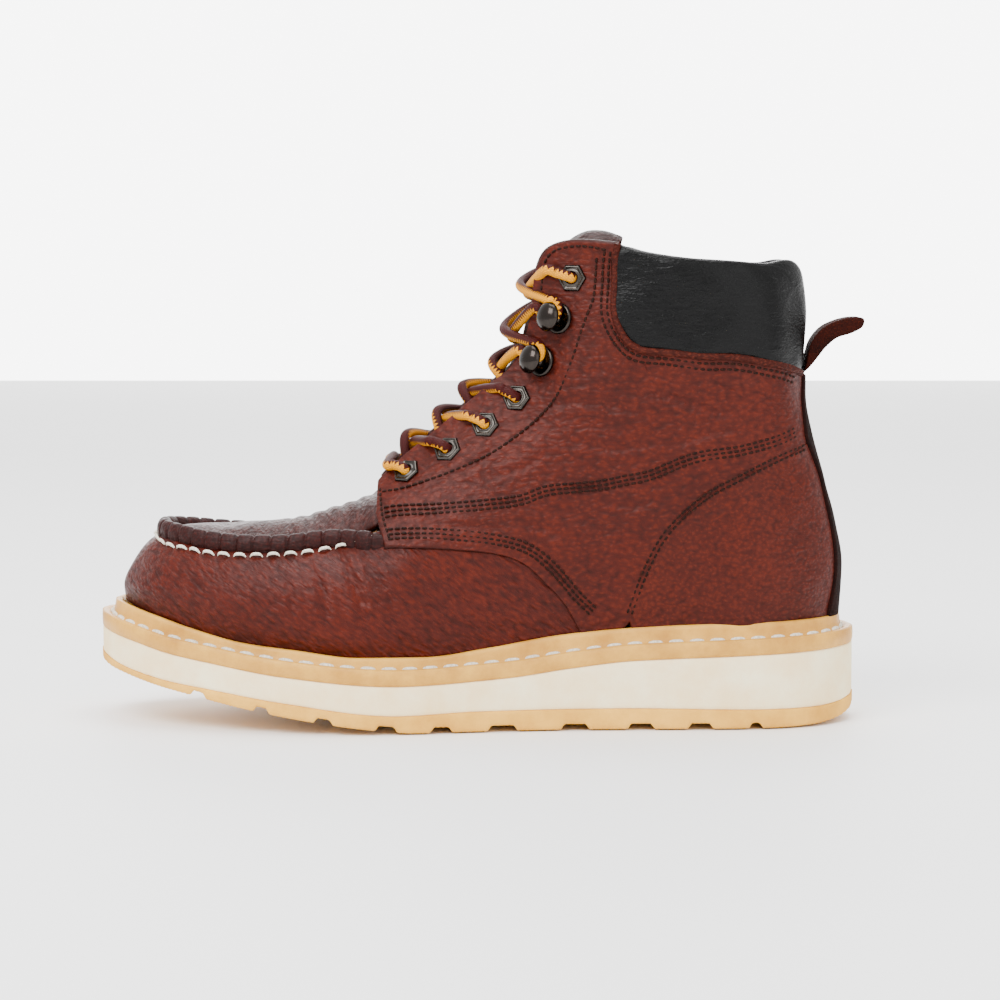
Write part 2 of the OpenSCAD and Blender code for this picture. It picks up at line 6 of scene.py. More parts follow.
import bmesh
import bpy
import numpy as np
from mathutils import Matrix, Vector

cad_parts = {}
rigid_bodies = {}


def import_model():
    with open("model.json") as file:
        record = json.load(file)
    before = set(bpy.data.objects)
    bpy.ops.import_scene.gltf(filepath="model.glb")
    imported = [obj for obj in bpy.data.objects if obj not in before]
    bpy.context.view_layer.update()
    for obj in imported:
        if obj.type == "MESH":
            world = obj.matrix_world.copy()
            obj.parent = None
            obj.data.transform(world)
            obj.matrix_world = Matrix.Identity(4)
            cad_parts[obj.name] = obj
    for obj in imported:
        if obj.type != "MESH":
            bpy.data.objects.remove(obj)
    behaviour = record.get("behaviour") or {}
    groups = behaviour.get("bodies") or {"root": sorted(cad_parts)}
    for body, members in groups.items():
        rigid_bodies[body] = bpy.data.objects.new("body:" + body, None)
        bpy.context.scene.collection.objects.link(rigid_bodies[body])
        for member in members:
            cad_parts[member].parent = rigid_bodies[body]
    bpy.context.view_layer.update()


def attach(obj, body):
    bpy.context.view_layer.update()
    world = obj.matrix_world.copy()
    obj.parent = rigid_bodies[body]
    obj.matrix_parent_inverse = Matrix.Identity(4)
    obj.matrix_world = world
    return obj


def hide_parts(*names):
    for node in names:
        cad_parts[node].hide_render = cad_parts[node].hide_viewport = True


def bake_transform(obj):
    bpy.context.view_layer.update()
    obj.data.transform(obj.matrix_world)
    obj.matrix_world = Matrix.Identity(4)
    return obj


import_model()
MM = 0.001
SIDES = {"lateral": -1, "medial": 1}
rng = np.random.default_rng(7)


# ---- camera, floor and lights ----
CAMERA_PLACE = (0.0095, -1.2, 0.1862)
CAMERA_LENS = 109.2
CAMERA_TILT = 4.8  # degrees below level
LIGHT_TARGET = (0, 0, 0.09)
WORLD_STRENGTH = 1.5
BACKDROP_STRENGTH = 6.0


def add_camera():
    data = bpy.data.cameras.new("camera")
    data.lens = CAMERA_LENS
    data.sensor_width = 36
    camera = bpy.data.objects.new("camera", data)
    camera.location = CAMERA_PLACE
    camera.rotation_euler = (math.radians(90 - CAMERA_TILT), 0, 0)
    bpy.context.scene.collection.objects.link(camera)
    bpy.context.scene.camera = camera


def add_area_light(name, place, size, power):
    data = bpy.data.lights.new(name, "AREA")
    data.shape = "SQUARE"
    data.size = size
    data.energy = power
    light = bpy.data.objects.new(name, data)
    light.location = place
    light.rotation_euler = (Vector(LIGHT_TARGET) - Vector(place)).to_track_quat("-Z", "Y").to_euler()
    bpy.context.scene.collection.objects.link(light)


def add_world():
    world = bpy.data.worlds.new("studio")
    world.use_nodes = True
    background = world.node_tree.nodes["Background"]
    background.inputs["Color"].default_value = (1, 1, 1, 1)
    background.inputs["Strength"].default_value = WORLD_STRENGTH
    bpy.context.scene.world = world


# ---- smooth curves ----
def curve(points, u):
    """Catmull-Rom curve through the points; u runs from 0 to 1 over all of them."""
    p = np.asarray(points, float)
    n = len(p) - 1
    p = np.concatenate([[2 * p[0] - p[1]], p, [2 * p[n] - p[n - 1]]])
    u = np.asarray(u, float) * n
    i = np.clip(np.floor(u).astype(int), 0, n - 1)
    f = u - i
    f = f.reshape(f.shape + (1,) * (p.ndim - 1))
    return blend4(p[i], p[i + 1], p[i + 2], p[i + 3], f)


def blend4(a, b, c, d, f):
    return 0.5 * (2 * b + (c - a) * f + (2 * a - 5 * b + 4 * c - d) * f**2 + (3 * b - a - 3 * c + d) * f**3)


def unit(v):
    return v / np.maximum(np.linalg.norm(v, axis=-1, keepdims=True), 1e-12)


def mix(a, b, f):
    return a + (b - a) * f


def smoothstep(low, high, x):
    f = np.clip((x - low) / (high - low), 0, 1)
    return f * f * (3 - 2 * f)


def gaps(points, axis=0):
    """Distances between neighbouring points along one axis of a line or grid."""
    return np.linalg.norm(np.diff(points, axis=axis), axis=-1)


def run_length(points):
    """The distance covered at each point of a line."""
    return np.concatenate([[0], np.cumsum(gaps(points))])


def turns(sides):
    """Angles evenly spaced round a circle."""
    return np.linspace(0, 2 * np.pi, sides + 1)[:-1]


def even(points, step):
    """The polyline's points again, spaced evenly by about step; further columns go along with them."""
    points = np.asarray(points)
    run = run_length(points[:, :3])
    count = max(2, int(round(run[-1] / step)) + 1)
    at = np.linspace(0, run[-1], count)
    return np.stack([np.interp(at, run, points[:, k]) for k in range(points.shape[1])], 1)


def profile_height(profile, x):
    """Smooth height through [x, z] points, with no overshoot between them."""
    px, pz = np.array(profile, float).T * MM
    slope = np.diff(pz) / np.diff(px)
    tangent = np.zeros_like(pz)
    inner = slope[:-1] * slope[1:] > 0
    tangent[1:-1][inner] = 2 * slope[:-1][inner] * slope[1:][inner] / (slope[:-1] + slope[1:])[inner]
    tangent[0], tangent[-1] = slope[0], slope[-1]
    i = np.clip(np.searchsorted(px, x) - 1, 0, len(px) - 2)
    h = px[i + 1] - px[i]
    f = (x - px[i]) / h
    return (
        (2 * f**3 - 3 * f**2 + 1) * pz[i]
        + (f**3 - 2 * f**2 + f) * h * tangent[i]
        + (3 * f**2 - 2 * f**3) * pz[i + 1]
        + (f**3 - f**2) * h * tangent[i + 1]
    )


def swing(x):
    """How far the toe end turns towards the medial side at x."""
    return 9 * MM * (np.maximum(0, -x - 30 * MM) / (120 * MM)) ** 1.7


# ---- the upper's skin, the same net of columns as in the CAD, from the feather line up ----
SKIN = MM * np.array([
    [[-140, 0, 44.4], [-140.5, 0, 52], [-138, 0, 58.5], [-134.5, 0, 64.5], [-130.5, 0, 69], [-126, 0, 72]],
    [[-136, 13.5, 43.8], [-137, 13.5, 52], [-134.5, 13, 58], [-131, 12.5, 64], [-127.5, 12, 68.5],
     [-123, 11, 71.5]],
    [[-126, 26, 41.4], [-127, 27, 51], [-125, 26.5, 57], [-122, 25, 63], [-119, 22.5, 67.5],
     [-115, 20, 70.5]],
    [[-110, 35, 36.9], [-111, 37, 48], [-110, 37, 54.5], [-108.5, 35, 60.5], [-106.5, 31.5, 65.5],
     [-104, 27, 69]],
    [[-90, 41, 32.4], [-90, 44, 43], [-90, 44.5, 50], [-89, 42.5, 57], [-88.5, 38, 63.5], [-88, 31.5, 68]],
    [[-68, 45, 30], [-68, 48.5, 39], [-68, 49, 47], [-68, 47, 55], [-68, 41.5, 62.5], [-68, 33, 69]],
    [[-45, 46, 27.5], [-45.5, 49.5, 38], [-46.5, 49, 48.5], [-48, 45, 58.5], [-49.5, 37, 67.5],
     [-50, 24, 77]],
    [[-20, 43.5, 27.4], [-21, 46.5, 42], [-24, 45.5, 56], [-28, 40.5, 70], [-33, 30, 84], [-38, 13, 95]],
    [[5, 39, 30.3], [4, 41.5, 48], [0, 40.5, 64], [-5, 36, 81], [-11, 27, 98], [-17, 12.5, 113]],
    [[32, 35, 34.7], [30, 37, 55], [26, 36, 74], [19, 32.5, 93.5], [11, 25, 112.5], [3, 12.5, 130.5]],
    [[60, 33, 37.4], [57, 35, 61], [52, 34, 83], [43, 31.5, 105], [31, 26, 127], [18, 13.5, 148]],
    [[86, 33, 38.7], [84, 35, 66], [79, 34, 94], [69, 32, 123], [50, 30, 155], [24, 17, 190]],
    [[108, 32, 39.2], [108, 34, 66], [105, 33.5, 94], [98, 32.5, 123], [83, 33.5, 155], [60, 33, 190]],
    [[126, 24, 39.6], [127.3, 25.5, 66], [123.4, 25, 94], [117, 26, 123], [110, 30, 155], [97.2, 34.5, 187]],
    [[137.3, 13, 39.9], [138.8, 14, 66], [133.4, 13.5, 94], [126, 14, 123], [123.5, 17, 155], [119, 21, 186]],
    [[141.9, 0, 40], [142.4, 0, 66], [134.9, 0, 94], [128.6, 0, 123], [127.9, 0, 155], [127.9, 0, 186]],
])
LAST = len(SKIN) - 1
RISES = SKIN.shape[1] - 1
RING = np.concatenate([SKIN[:0:-1] * [1, -1, 1], SKIN[:-1]])


def skin(t, s):
    """Point of the skin: t is 0 at the toe's centre, 1 at the heel's and negative on the lateral side;
    s is 0 at the feather line and 1 at the top."""
    t, s = np.broadcast_arrays(np.asarray(t, float), np.asarray(s, float))
    u = (t + 1) * LAST
    i = np.floor(u).astype(int)
    rows = np.concatenate([2 * RING[:, :1] - RING[:, 1:2], RING, 2 * RING[:, -1:] - RING[:, -2:-1]], 1)
    v = s * RISES
    j = np.clip(np.floor(v).astype(int), 0, RISES - 1)
    fv = (v - j)[..., None]
    fu = (u - i)[..., None]
    columns = []
    for k in range(-1, 3):
        c = rows[(i + k) % len(RING)]
        take = [np.take_along_axis(c, (j + m)[..., None, None], axis=-2)[..., 0, :] for m in range(4)]
        columns.append(blend4(*take, fv))
    p = blend4(*columns, fu)
    p[..., 1] += swing(p[..., 0])
    return p


def skin_normal(t, s):
    e = 0.004
    along = skin(t, s + e) - skin(t, s - e)
    across = skin(np.asarray(t) + e, s) - skin(np.asarray(t) - e, s)
    return unit(np.cross(along, across))


def find(points):
    """The [t, s] on the medial side of the skin points seen from the side at [x, z] in millimetres."""
    goal = np.array(points, float).reshape(-1, 2) * MM
    t = np.full(len(goal), 0.6)
    s = np.full(len(goal), 0.5)
    e = 0.002
    for _ in range(40):
        p = skin(t, s)
        a = (skin(t + e, s) - p) / e
        b = (skin(t, s + e) - p) / e
        dx, dz = goal[:, 0] - p[:, 0], goal[:, 1] - p[:, 2]
        det = a[:, 0] * b[:, 2] - b[:, 0] * a[:, 2]
        t = np.clip(t + np.clip((dx * b[:, 2] - b[:, 0] * dz) / det, -0.08, 0.08), 0.02, 0.99)
        s = np.clip(s + np.clip((a[:, 0] * dz - dx * a[:, 2]) / det, -0.2, 0.2), 0, 1)
    return np.stack([t, s], 1)


# Seam lines on the side of the boot, [x, z] in millimetres seen from the side
VAMP_SEAM = [[-35, 69.6], [-24, 69.8], [-9, 69.2], [7, 67.6], [18, 64], [27, 56], [35, 47]]
BAND_SEAM = [[-38.6, 82], [-20, 84.4], [0, 86], [18, 88.2], [36, 93], [54, 96], [71, 99.6], [88, 104],
             [104, 108.6], [125, 113.8]]
COUNTER_SEAM = [[60, 46], [62, 52], [66, 61.5], [72, 72.5], [80, 82], [90, 90.5], [103, 97.6], [126, 107.4]]
THROAT_EDGE = [[-38, 93.5], [-20, 110], [-2, 125.5], [11, 136], [19, 148], [22, 162]]
FLAP_TOP = [[23.6, 176], [26.5, 183.5], [32, 187.3], [42, 188.6], [54.6, 187.4]]
BACKSTAY_FRONT = [[137, 44], [139.3, 56.5], [139.2, 69], [135.3, 86.4], [130.4, 103.5], [126.8, 113],
                  [126.4, 129], [126.4, 136]]
COLLAR_SEAM = [[55.2, 187.2], [54.2, 172], [54.6, 157], [63, 146.6], [82, 144.4], [100, 143.4], [113, 141],
               [126, 136.5]]
EYELETS = [[-26.4, 97.5], [-10.5, 106.3], [4.2, 116], [16.4, 126.5], [37.8, 173.4]]
HOOKS = [[26.8, 141], [33.3, 157.8]]


# ---- meshes ----
def new_object(name, vertices, faces, body="boot"):
    mesh = bpy.data.meshes.new(name)
    mesh.from_pydata(np.asarray(vertices).reshape(-1, 3).tolist(), [], faces)
    mesh.validate()
    obj = bpy.data.objects.new(name, mesh)
    bpy.context.scene.collection.objects.link(obj)
    mesh.shade_smooth()
    if body:
        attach(obj, body)
    return obj


def grid_faces(rows, cols, start=0, wrap_rows=False, wrap_cols=False, flip=False):
    i = np.arange(rows if wrap_rows else rows - 1)
    j = np.arange(cols if wrap_cols else cols - 1)
    i, j = np.meshgrid(i, j, indexing="ij")
    a = i * cols + j
    b = i * cols + (j + 1) % cols
    c = ((i + 1) % rows) * cols + (j + 1) % cols
    d = ((i + 1) % rows) * cols + j
    quads = np.stack([a, b, c, d] if not flip else [a, d, c, b], -1).reshape(-1, 4) + start
    return quads.tolist()


def shell_faces(rows, cols, flip=False):
    """Faces of a closed sheet: an outer grid, an inner grid and the strip round their edges."""
    n = rows * cols
    rim = [(0, j) for j in range(cols)]
    rim += [(i, cols - 1) for i in range(1, rows)]
    rim += [(rows - 1, j) for j in range(cols - 2, -1, -1)]
    rim += [(i, 0) for i in range(rows - 2, 0, -1)]
    index = [i * cols + j for i, j in rim]
    sides = []
    for a, b in zip(index, index[1:] + index[:1]):
        sides.append([b, a, n + a, n + b] if not flip else [a, b, n + b, n + a])
    return grid_faces(rows, cols, flip=flip) + grid_faces(rows, cols, n, flip=not flip) + sides


def rod_faces(rows, cols, start=0, flip=False):
    """Faces of a closed rod: rings of cols points joined along it, with a flat cap on each end."""
    first = list(range(start, start + cols))
    last = list(range(start + rows * cols - 1, start + (rows - 1) * cols - 1, -1))
    return grid_faces(rows, cols, start, wrap_cols=True, flip=flip) + [first, last]


def edge_steps(length, step, radius=1.2 * MM):
    """Places from 0 to 1 along a length: even in the middle, close together near both ends."""
    fine = radius * (1 - np.cos(np.linspace(0, np.pi / 2, 5)))
    middle = np.linspace(radius, length - radius, max(3, int((length - 2 * radius) / step)))[1:-1]
    return np.concatenate([fine, middle, length - fine[::-1]]) / length


def set_values(obj, name, values):
    attribute = obj.data.attributes.new(name, "FLOAT", "POINT")
    attribute.data.foreach_set("value", np.asarray(values, np.float32).ravel())


def fix_normals(obj):
    mesh = bmesh.new()
    mesh.from_mesh(obj.data)
    bmesh.ops.recalc_face_normals(mesh, faces=mesh.faces)
    mesh.to_mesh(obj.data)
    mesh.free()


FAR_FROM_EDGE = 5.0


def sheet(name, outer, inner, edge=FAR_FROM_EDGE, body="boot", flip=False):
    """A closed sheet between two grids of points; edge is how far each is from a cut edge, in millimetres."""
    rows, cols = outer.shape[:2]
    vertices = np.concatenate([outer.reshape(-1, 3), inner.reshape(-1, 3)])
    obj = new_object(name, vertices, shell_faces(rows, cols, flip), body)
    set_values(obj, "edge", np.broadcast_to(edge, 2 * rows * cols))
    return obj


SQUARE_EDGE = 5 * MM


def panel(name, low, high, side, step, lift, thick, shape=None, rounding=1.1 * MM, seams=()):
    """A leather panel on the skin between two edge curves of [t, s], with rounded edges.
    lift is how far its face stands off the skin; shape(t, s, point) gives more lift.
    The edges named in seams ("low", "high") meet another panel under the stitching and are not rounded."""
    f = edge_steps(0.2, step)
    for _ in range(2):
        a, b = (skin(*curve(line, f).T) for line in (low, high))
        length = 0.5 * (gaps(a) + gaps(b)).sum()
        width = np.linalg.norm(a - b, axis=1).max()
        f = edge_steps(length, step)
    g = edge_steps(width, step)
    q = mix(curve(low, f)[:, None], curve(high, f)[:, None], g[None, :, None])
    t, s = side * q[..., 0], q[..., 1]
    p = skin(t, s)
    n = skin_normal(t, s)
    across = np.concatenate([np.zeros((len(f), 1)), np.cumsum(gaps(p, 1), 1)], 1)
    along = np.concatenate([np.zeros((1, len(g))), np.cumsum(gaps(p), 0)], 0)
    from_low = across + (SQUARE_EDGE if "low" in seams else 0)
    from_high = across[:, -1:] - across + (SQUARE_EDGE if "high" in seams else 0)
    edge = np.minimum(np.minimum(from_low, from_high), np.minimum(along, along[-1:] - along))
    round_off = 1 - np.sqrt(1 - (1 - np.clip(edge / rounding, 0, 1)) ** 2)
    height = lift - thick * round_off * 0.9
    if shape is not None:
        height = height + shape(t, s, p)
    outer = p + n * height[..., None]
    inner = p + n * (lift - thick)
    edge = np.concatenate([edge.ravel(), 0 * edge.ravel()]) / MM
    return sheet(name, outer, inner, edge, flip=side > 0)


def tube(name, path, radius, sides=12, up=(0.3, 0.0, 0.95)):
    """A round tube along a path; its seam turns towards up and sways a little.
    Its UVs are millimetres along it and turns round it."""
    path = np.asarray(path)
    t = unit(np.gradient(path, axis=0))
    n = np.empty_like(path)
    before = unit(np.array(up, float))
    for i in range(len(path)):
        wanted = np.array(up) - (up @ t[i]) * t[i]
        before = unit(0.6 * before + 0.4 * wanted)
        before = unit(before - (before @ t[i]) * t[i])
        n[i] = before
    run = run_length(path)
    r = np.broadcast_to(radius, len(path))[:, None, None]
    turn = turns(sides)[None, :] + 0.4 * np.sin(run / (21 * MM))[:, None]
    b = np.cross(t, n)
    rings = path[:, None] + r * (np.cos(turn)[..., None] * n[:, None] + np.sin(turn)[..., None] * b[:, None])
    obj = new_object(name, rings, rod_faces(len(path), sides))
    layer = obj.data.uv_layers.new(name="uv")
    values = np.zeros((len(obj.data.loops), 2), np.float32)
    index = np.empty(len(obj.data.loops), int)
    obj.data.loops.foreach_get("vertex_index", index)
    for polygon in obj.data.polygons:
        loops = np.arange(polygon.loop_start, polygon.loop_start + polygon.loop_total)
        k = index[loops]
        around = (k % sides) / sides
        if around.max() - around.min() > 0.5 and len(k) == 4:
            around = np.where(around < 0.25, around + 1, around)
        values[loops] = np.stack([run[k // sides] / MM, around], 1)
    layer.data.foreach_set("uv", values.ravel())
    return obj


def surface_line(line, side, step, lift):
    """Evenly spaced points just above the skin along [t, s] control points, with their normals."""
    q = curve(line, np.linspace(0, 1, 400))
    dense = np.column_stack([skin(side * q[:, 0], q[:, 1]), q])
    dense = even(dense, step)
    n = skin_normal(side * dense[:, 3], dense[:, 4])
    return dense[:, :3] + n * lift, n


def stitches(name, rows, length, radius, material, dip=0.3):
    """Rows of thread stitches: each is a short arched capsule that dips into the leather at both ends.
    rows is a list of (points, normals); each stitch lies between two neighbouring points."""
    rings, sides = 7, 6
    vertices, faces = [], []
    u = np.linspace(-1, 1, rings)
    angle = turns(sides)
    for points, normals in rows:
        for k in range(len(points) - 1):
            mid = (points[k] + points[k + 1]) / 2
            along = unit(points[k + 1] - points[k])
            up = unit(normals[k] - (normals[k] @ along) * along)
            side = np.cross(along, up)
            arch = mid + np.outer(u * length / 2, along) + np.outer(-dip * radius * 4 * u**4, up)
            size = radius * np.sqrt(np.maximum(1 - (np.abs(u) ** 3) * 0.8, 0.05))
            ring = (arch[:, None] + (size[:, None] * np.cos(angle))[..., None] * up
                    + (size[:, None] * np.sin(angle))[..., None] * side)
            faces += rod_faces(rings, sides, len(vertices) * rings * sides)
            vertices.append(ring.reshape(-1, 3))
    finish_piece(new_object(name, np.concatenate(vertices), faces), material)


def set_material(obj, material):
    obj.data.materials.clear()
    obj.data.materials.append(material)


def finish_piece(obj, material, nodes=()):
    set_material(obj, material)
    if nodes:
        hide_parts(*nodes)


# ---- materials ----
CONTRAST = 1.6


def rgb(r, g, b):
    """A surface colour from the 0 to 255 values it should show as in the bright studio light."""
    return tuple((((c / 255 + 0.055) / 1.055) ** 2.4) ** CONTRAST for c in (r, g, b)) + (1,)


class Graph:
    """Short words for building a material out of nodes; values that are sockets are linked."""

    def __init__(self, name):
        self.material = bpy.data.materials.new(name)
        self.material.use_nodes = True
        self.tree = self.material.node_tree
        self.shader = self.tree.nodes["Principled BSDF"]
        self.place = self.tree.nodes.new("ShaderNodeTexCoord").outputs["Object"]

    def node(self, kind, settings=None, **inputs):
        n = self.tree.nodes.new(kind)
        for key, value in (settings or {}).items():
            setattr(n, key, value)
        for key, value in inputs.items():
            self.put(n.inputs[key.replace("_", " ")], value)
        return n

    def put(self, socket, value):
        if isinstance(value, bpy.types.NodeSocket):
            self.tree.links.new(value, socket)
        else:
            socket.default_value = value

    def set(self, **inputs):
        for key, value in inputs.items():
            self.put(self.shader.inputs[key.replace("_", " ")], value)

    def stretched(self, x, y, z):
        n = self.node("ShaderNodeMapping", Vector=self.place, Scale=(x, y, z))
        return n.outputs["Vector"]

    def noise(self, scale, detail=3.0, rough=0.5, distortion=0.0, vector=None):
        n = self.node("ShaderNodeTexNoise", Vector=vector or self.place, Scale=scale, Detail=detail,
                      Roughness=rough, Distortion=distortion)
        return n.outputs["Fac"]

    def cells(self, scale, feature="F1", vector=None, jitter=1.0):
        n = self.node("ShaderNodeTexVoronoi", {"feature": feature}, Vector=vector or self.place, Scale=scale,
                      Randomness=jitter)
        return n.outputs["Distance"]

    def spread(self, value, low, high, to_low=0.0, to_high=1.0):
        n = self.node("ShaderNodeMapRange", Value=value, From_Min=low, From_Max=high, To_Min=to_low,
                      To_Max=to_high)
        return n.outputs["Result"]

    def math(self, kind, a, b=0.0):
        n = self.node("ShaderNodeMath", {"operation": kind})
        for k, value in enumerate((a, b)):
            self.put(n.inputs[k], value)
        return n.outputs[0]

    def blend(self, factor, a, b, kind="MIX"):
        n = self.node("ShaderNodeMix", {"data_type": "RGBA", "blend_type": kind})
        for key, value in ((0, factor), (6, a), (7, b)):
            self.put(n.inputs[key], value)
        return n.outputs[2]

    def attribute(self, name):
        return self.node("ShaderNodeAttribute", {"attribute_name": name}).outputs["Fac"]

    def bump(self, height, distance, normal=None):
        n = self.node("ShaderNodeBump", Height=height, Distance=distance, Strength=1.0)
        if normal is not None:
            self.put(n.inputs["Normal"], normal)
        return n.outputs["Normal"]


WARP = 0.0022  # metres by which the grain is bent out of line


def leather(name, dark, middle, light, roughness=0.45, grain=1.5, tilt=0.0, stretch=1.5, depth=0.0003,
            edge=None, folds=0.0):
    """Full-grain leather: pillows of grain between winding creases, with pores on top, a softly clouded
    colour, painted shade (the dark colour) in the hollows between the pillows and along the flex lines, a
    painted highlight (the light colour) on the pillows' tops and the edge colour along cut edges. grain is
    the pillows' height in millimetres; they are stretch times as long, along a line tilted by tilt degrees.
    depth is the grain's depth and folds the added depth of the longer flex lines, both in metres."""
    g = Graph(name)
    turn = g.node("ShaderNodeMapping", Vector=g.place, Rotation=(0, math.radians(tilt), 0))
    place = g.node("ShaderNodeMapping", Vector=turn.outputs["Vector"], Scale=(1 / stretch, 1 / stretch, 1))
    warp = g.node("ShaderNodeTexNoise", Vector=place.outputs["Vector"], Scale=300.0, Detail=2.0)
    bent = g.node("ShaderNodeVectorMath", {"operation": "MULTIPLY_ADD"})
    for k, value in enumerate((warp.outputs["Color"], (WARP, WARP, WARP), place.outputs["Vector"])):
        g.put(bent.inputs[k], value)
    pillow = g.spread(g.cells(1000 / grain, "SMOOTH_F1", bent.outputs[0]), 0.15, 0.75, 1.0, 0.0)
    long_place = g.node("ShaderNodeMapping", Vector=turn.outputs["Vector"], Scale=(0.22, 0.3, 1))
    lines = g.noise(620 / grain, 3, 0.6, 0.5, long_place.outputs["Vector"])
    pores = g.noise(2600, 2, 0.6)
    cloud = g.noise(30, 3, 0.5)
    height = g.math("ADD", g.math("MULTIPLY", pillow, 0.8), g.math("MULTIPLY", pores, 0.2))
    color = g.blend(g.spread(cloud, 0.35, 0.65, 0.3, 0.0), middle, dark)
    # painted shade: the low parts of the grain, between the pillows, turn to the dark colour
    color = g.blend(g.spread(height, 0.1, 0.6, 0.55, 0.0), color, dark)
    # painted highlight: the pillows' raised tops turn to the light colour
    color = g.blend(g.spread(height, 0.6, 1.0, 0.0, 0.5), color, light)
    # painted shade: the flex lines turn to the dark colour
    color = g.blend(g.spread(lines, 0.36, 0.5, 0.4 if folds else 0.2, 0.0), color, dark)
    normal = g.bump(g.noise(48, 2, 0.5, 0.5), 0.0012)
    normal = g.bump(lines, 0.0004 + folds, normal)
    normal = g.bump(height, depth, normal)
    if edge is not None:
        at_edge = g.spread(g.attribute("edge"), 0.2, 1.0, 0.85, 0.0)
        color = g.blend(at_edge, color, edge)
    rough = g.spread(height, 0.1, 0.9, roughness + 0.12, roughness - 0.04)
    g.set(Base_Color=color, Roughness=rough, Normal=normal, Specular_IOR_Level=0.15)
    return g.material


def suede(name, dark, middle, light):
    g = Graph(name)
    nap = g.noise(1500, 4, 0.75)
    broad = g.noise(90, 4, 0.65)
    color = g.blend(g.spread(broad, 0.3, 0.7), dark, middle)
    color = g.blend(g.spread(nap, 0.5, 0.72, 0, 0.8), color, light)
    normal = g.bump(broad, 0.0009)
    normal = g.bump(nap, 0.00035, normal)
    g.set(Base_Color=color, Roughness=0.88, Normal=normal, Specular_IOR_Level=0.1)
    return g.material


def rubber(name, dark, light, roughness=0.72, speck=0.00012, streaks=True):
    """Moulded and ground rubber or foam: clouded colour, fine grinding marks and scuffs."""
    g = Graph(name)
    cloud = g.noise(45, 5, 0.65)
    fine = g.noise(1400, 3, 0.7)
    color = g.blend(g.spread(cloud, 0.3, 0.72), dark, light)
    color = g.blend(g.spread(fine, 0.55, 0.8, 0, 0.35), color, dark)
    normal = g.bump(fine, speck)
    if streaks:
        marks = g.noise(260, 4, 0.7, 0.0, g.stretched(7.0, 7.0, 0.25))
        normal = g.bump(marks, 0.00016, normal)
    rough = g.spread(cloud, 0.3, 0.7, roughness - 0.08, roughness + 0.1)
    g.set(Base_Color=color, Roughness=rough, Normal=normal, Specular_IOR_Level=0.25)
    return g.material


def fabric(name, dark, light, thread=0.7, fuzz=0.3):
    """Knitted or woven lining cloth; thread is its repeat in millimetres."""
    g = Graph(name)
    n = g.node("ShaderNodeTexWave", {"wave_type": "BANDS", "bands_direction": "Z"}, Vector=g.place,
               Scale=1000 / thread / 6.28 * 2, Distortion=3.0, Detail=2.0)
    weft = n.outputs["Fac"]
    warp = g.cells(1000 / thread, "F1", jitter=0.45)
    cloud = g.noise(60, 4, 0.6)
    height = g.math("ADD", weft, g.math("MULTIPLY", warp, 1.2))
    # painted shade and painted highlight: the weave's hollows take the dark colour and its raised threads the
    # light one
    color = g.blend(g.spread(height, 0.2, 1.5), dark, light)
    color = g.blend(g.spread(cloud, 0.35, 0.75, 0, 0.5), color, dark)
    g.set(Base_Color=color, Roughness=0.92, Normal=g.bump(height, 0.00025))
    g.set(Specular_IOR_Level=0.1, Sheen_Weight=fuzz * 0.3, Sheen_Roughness=0.6)
    return g.material


def metal(name, color, roughness, scratch=0.00003, base_metal=1.0):
    g = Graph(name)
    wear = g.noise(420, 5, 0.7)
    fine = g.noise(2400, 2, 0.6)
    tone = g.blend(g.spread(wear, 0.35, 0.7, 0, 0.45), color, (0.02, 0.02, 0.02, 1))
    g.set(Base_Color=tone, Metallic=base_metal, Normal=g.bump(fine, scratch))
    g.set(Roughness=g.spread(wear, 0.3, 0.7, roughness - 0.06, roughness + 0.14))
    return g.material


def thread(name, dark, light):
    g = Graph(name)
    twist = g.noise(1800, 2, 0.6, 0.0, g.stretched(1.0, 1.0, 0.35))
    color = g.blend(g.spread(twist, 0.3, 0.7), dark, light)
    g.set(Base_Color=color, Roughness=0.62, Normal=g.bump(twist, 0.0001), Specular_IOR_Level=0.12)
    return g.material


def braid(name, gold, maroon):
    """A round braided lace, one half gold and one half maroon, meeting in a sawtooth."""
    g = Graph(name)
    uv = g.node("ShaderNodeUVMap", {"uv_map": "uv"}).outputs["UV"]
    parts = g.node("ShaderNodeSeparateXYZ", Vector=uv)
    along, around = parts.outputs["X"], parts.outputs["Y"]
    tooth = g.math("ABSOLUTE", g.math("SUBTRACT", g.math("FRACT", g.math("DIVIDE", along, 1.5)), 0.5))
    turn = g.math("FRACT", g.math("ADD", around, g.math("MULTIPLY", tooth, 0.3)))
    side = g.math("GREATER_THAN", g.math("ABSOLUTE", g.math("SUBTRACT", turn, 0.5)), 0.25)
    strands = g.math("MULTIPLY", around, 12.0)
    lay = g.math("DIVIDE", along, 1.6)
    right = g.math("FRACT", g.math("ADD", strands, lay))
    left = g.math("FRACT", g.math("SUBTRACT", strands, lay))
    a = g.math("ABSOLUTE", g.math("SUBTRACT", right, 0.5))
    b = g.math("ABSOLUTE", g.math("SUBTRACT", left, 0.5))
    height = g.math("MAXIMUM", a, b)
    color = g.blend(side, gold, maroon)
    shade = g.spread(height, 0.1, 0.5, 1.0, 0.55)
    tinted = g.node("ShaderNodeHueSaturation", Color=color, Value=shade).outputs["Color"]
    g.set(Base_Color=tinted, Roughness=0.6, Normal=g.bump(height, -0.00035), Specular_IOR_Level=0.15)
    return g.material


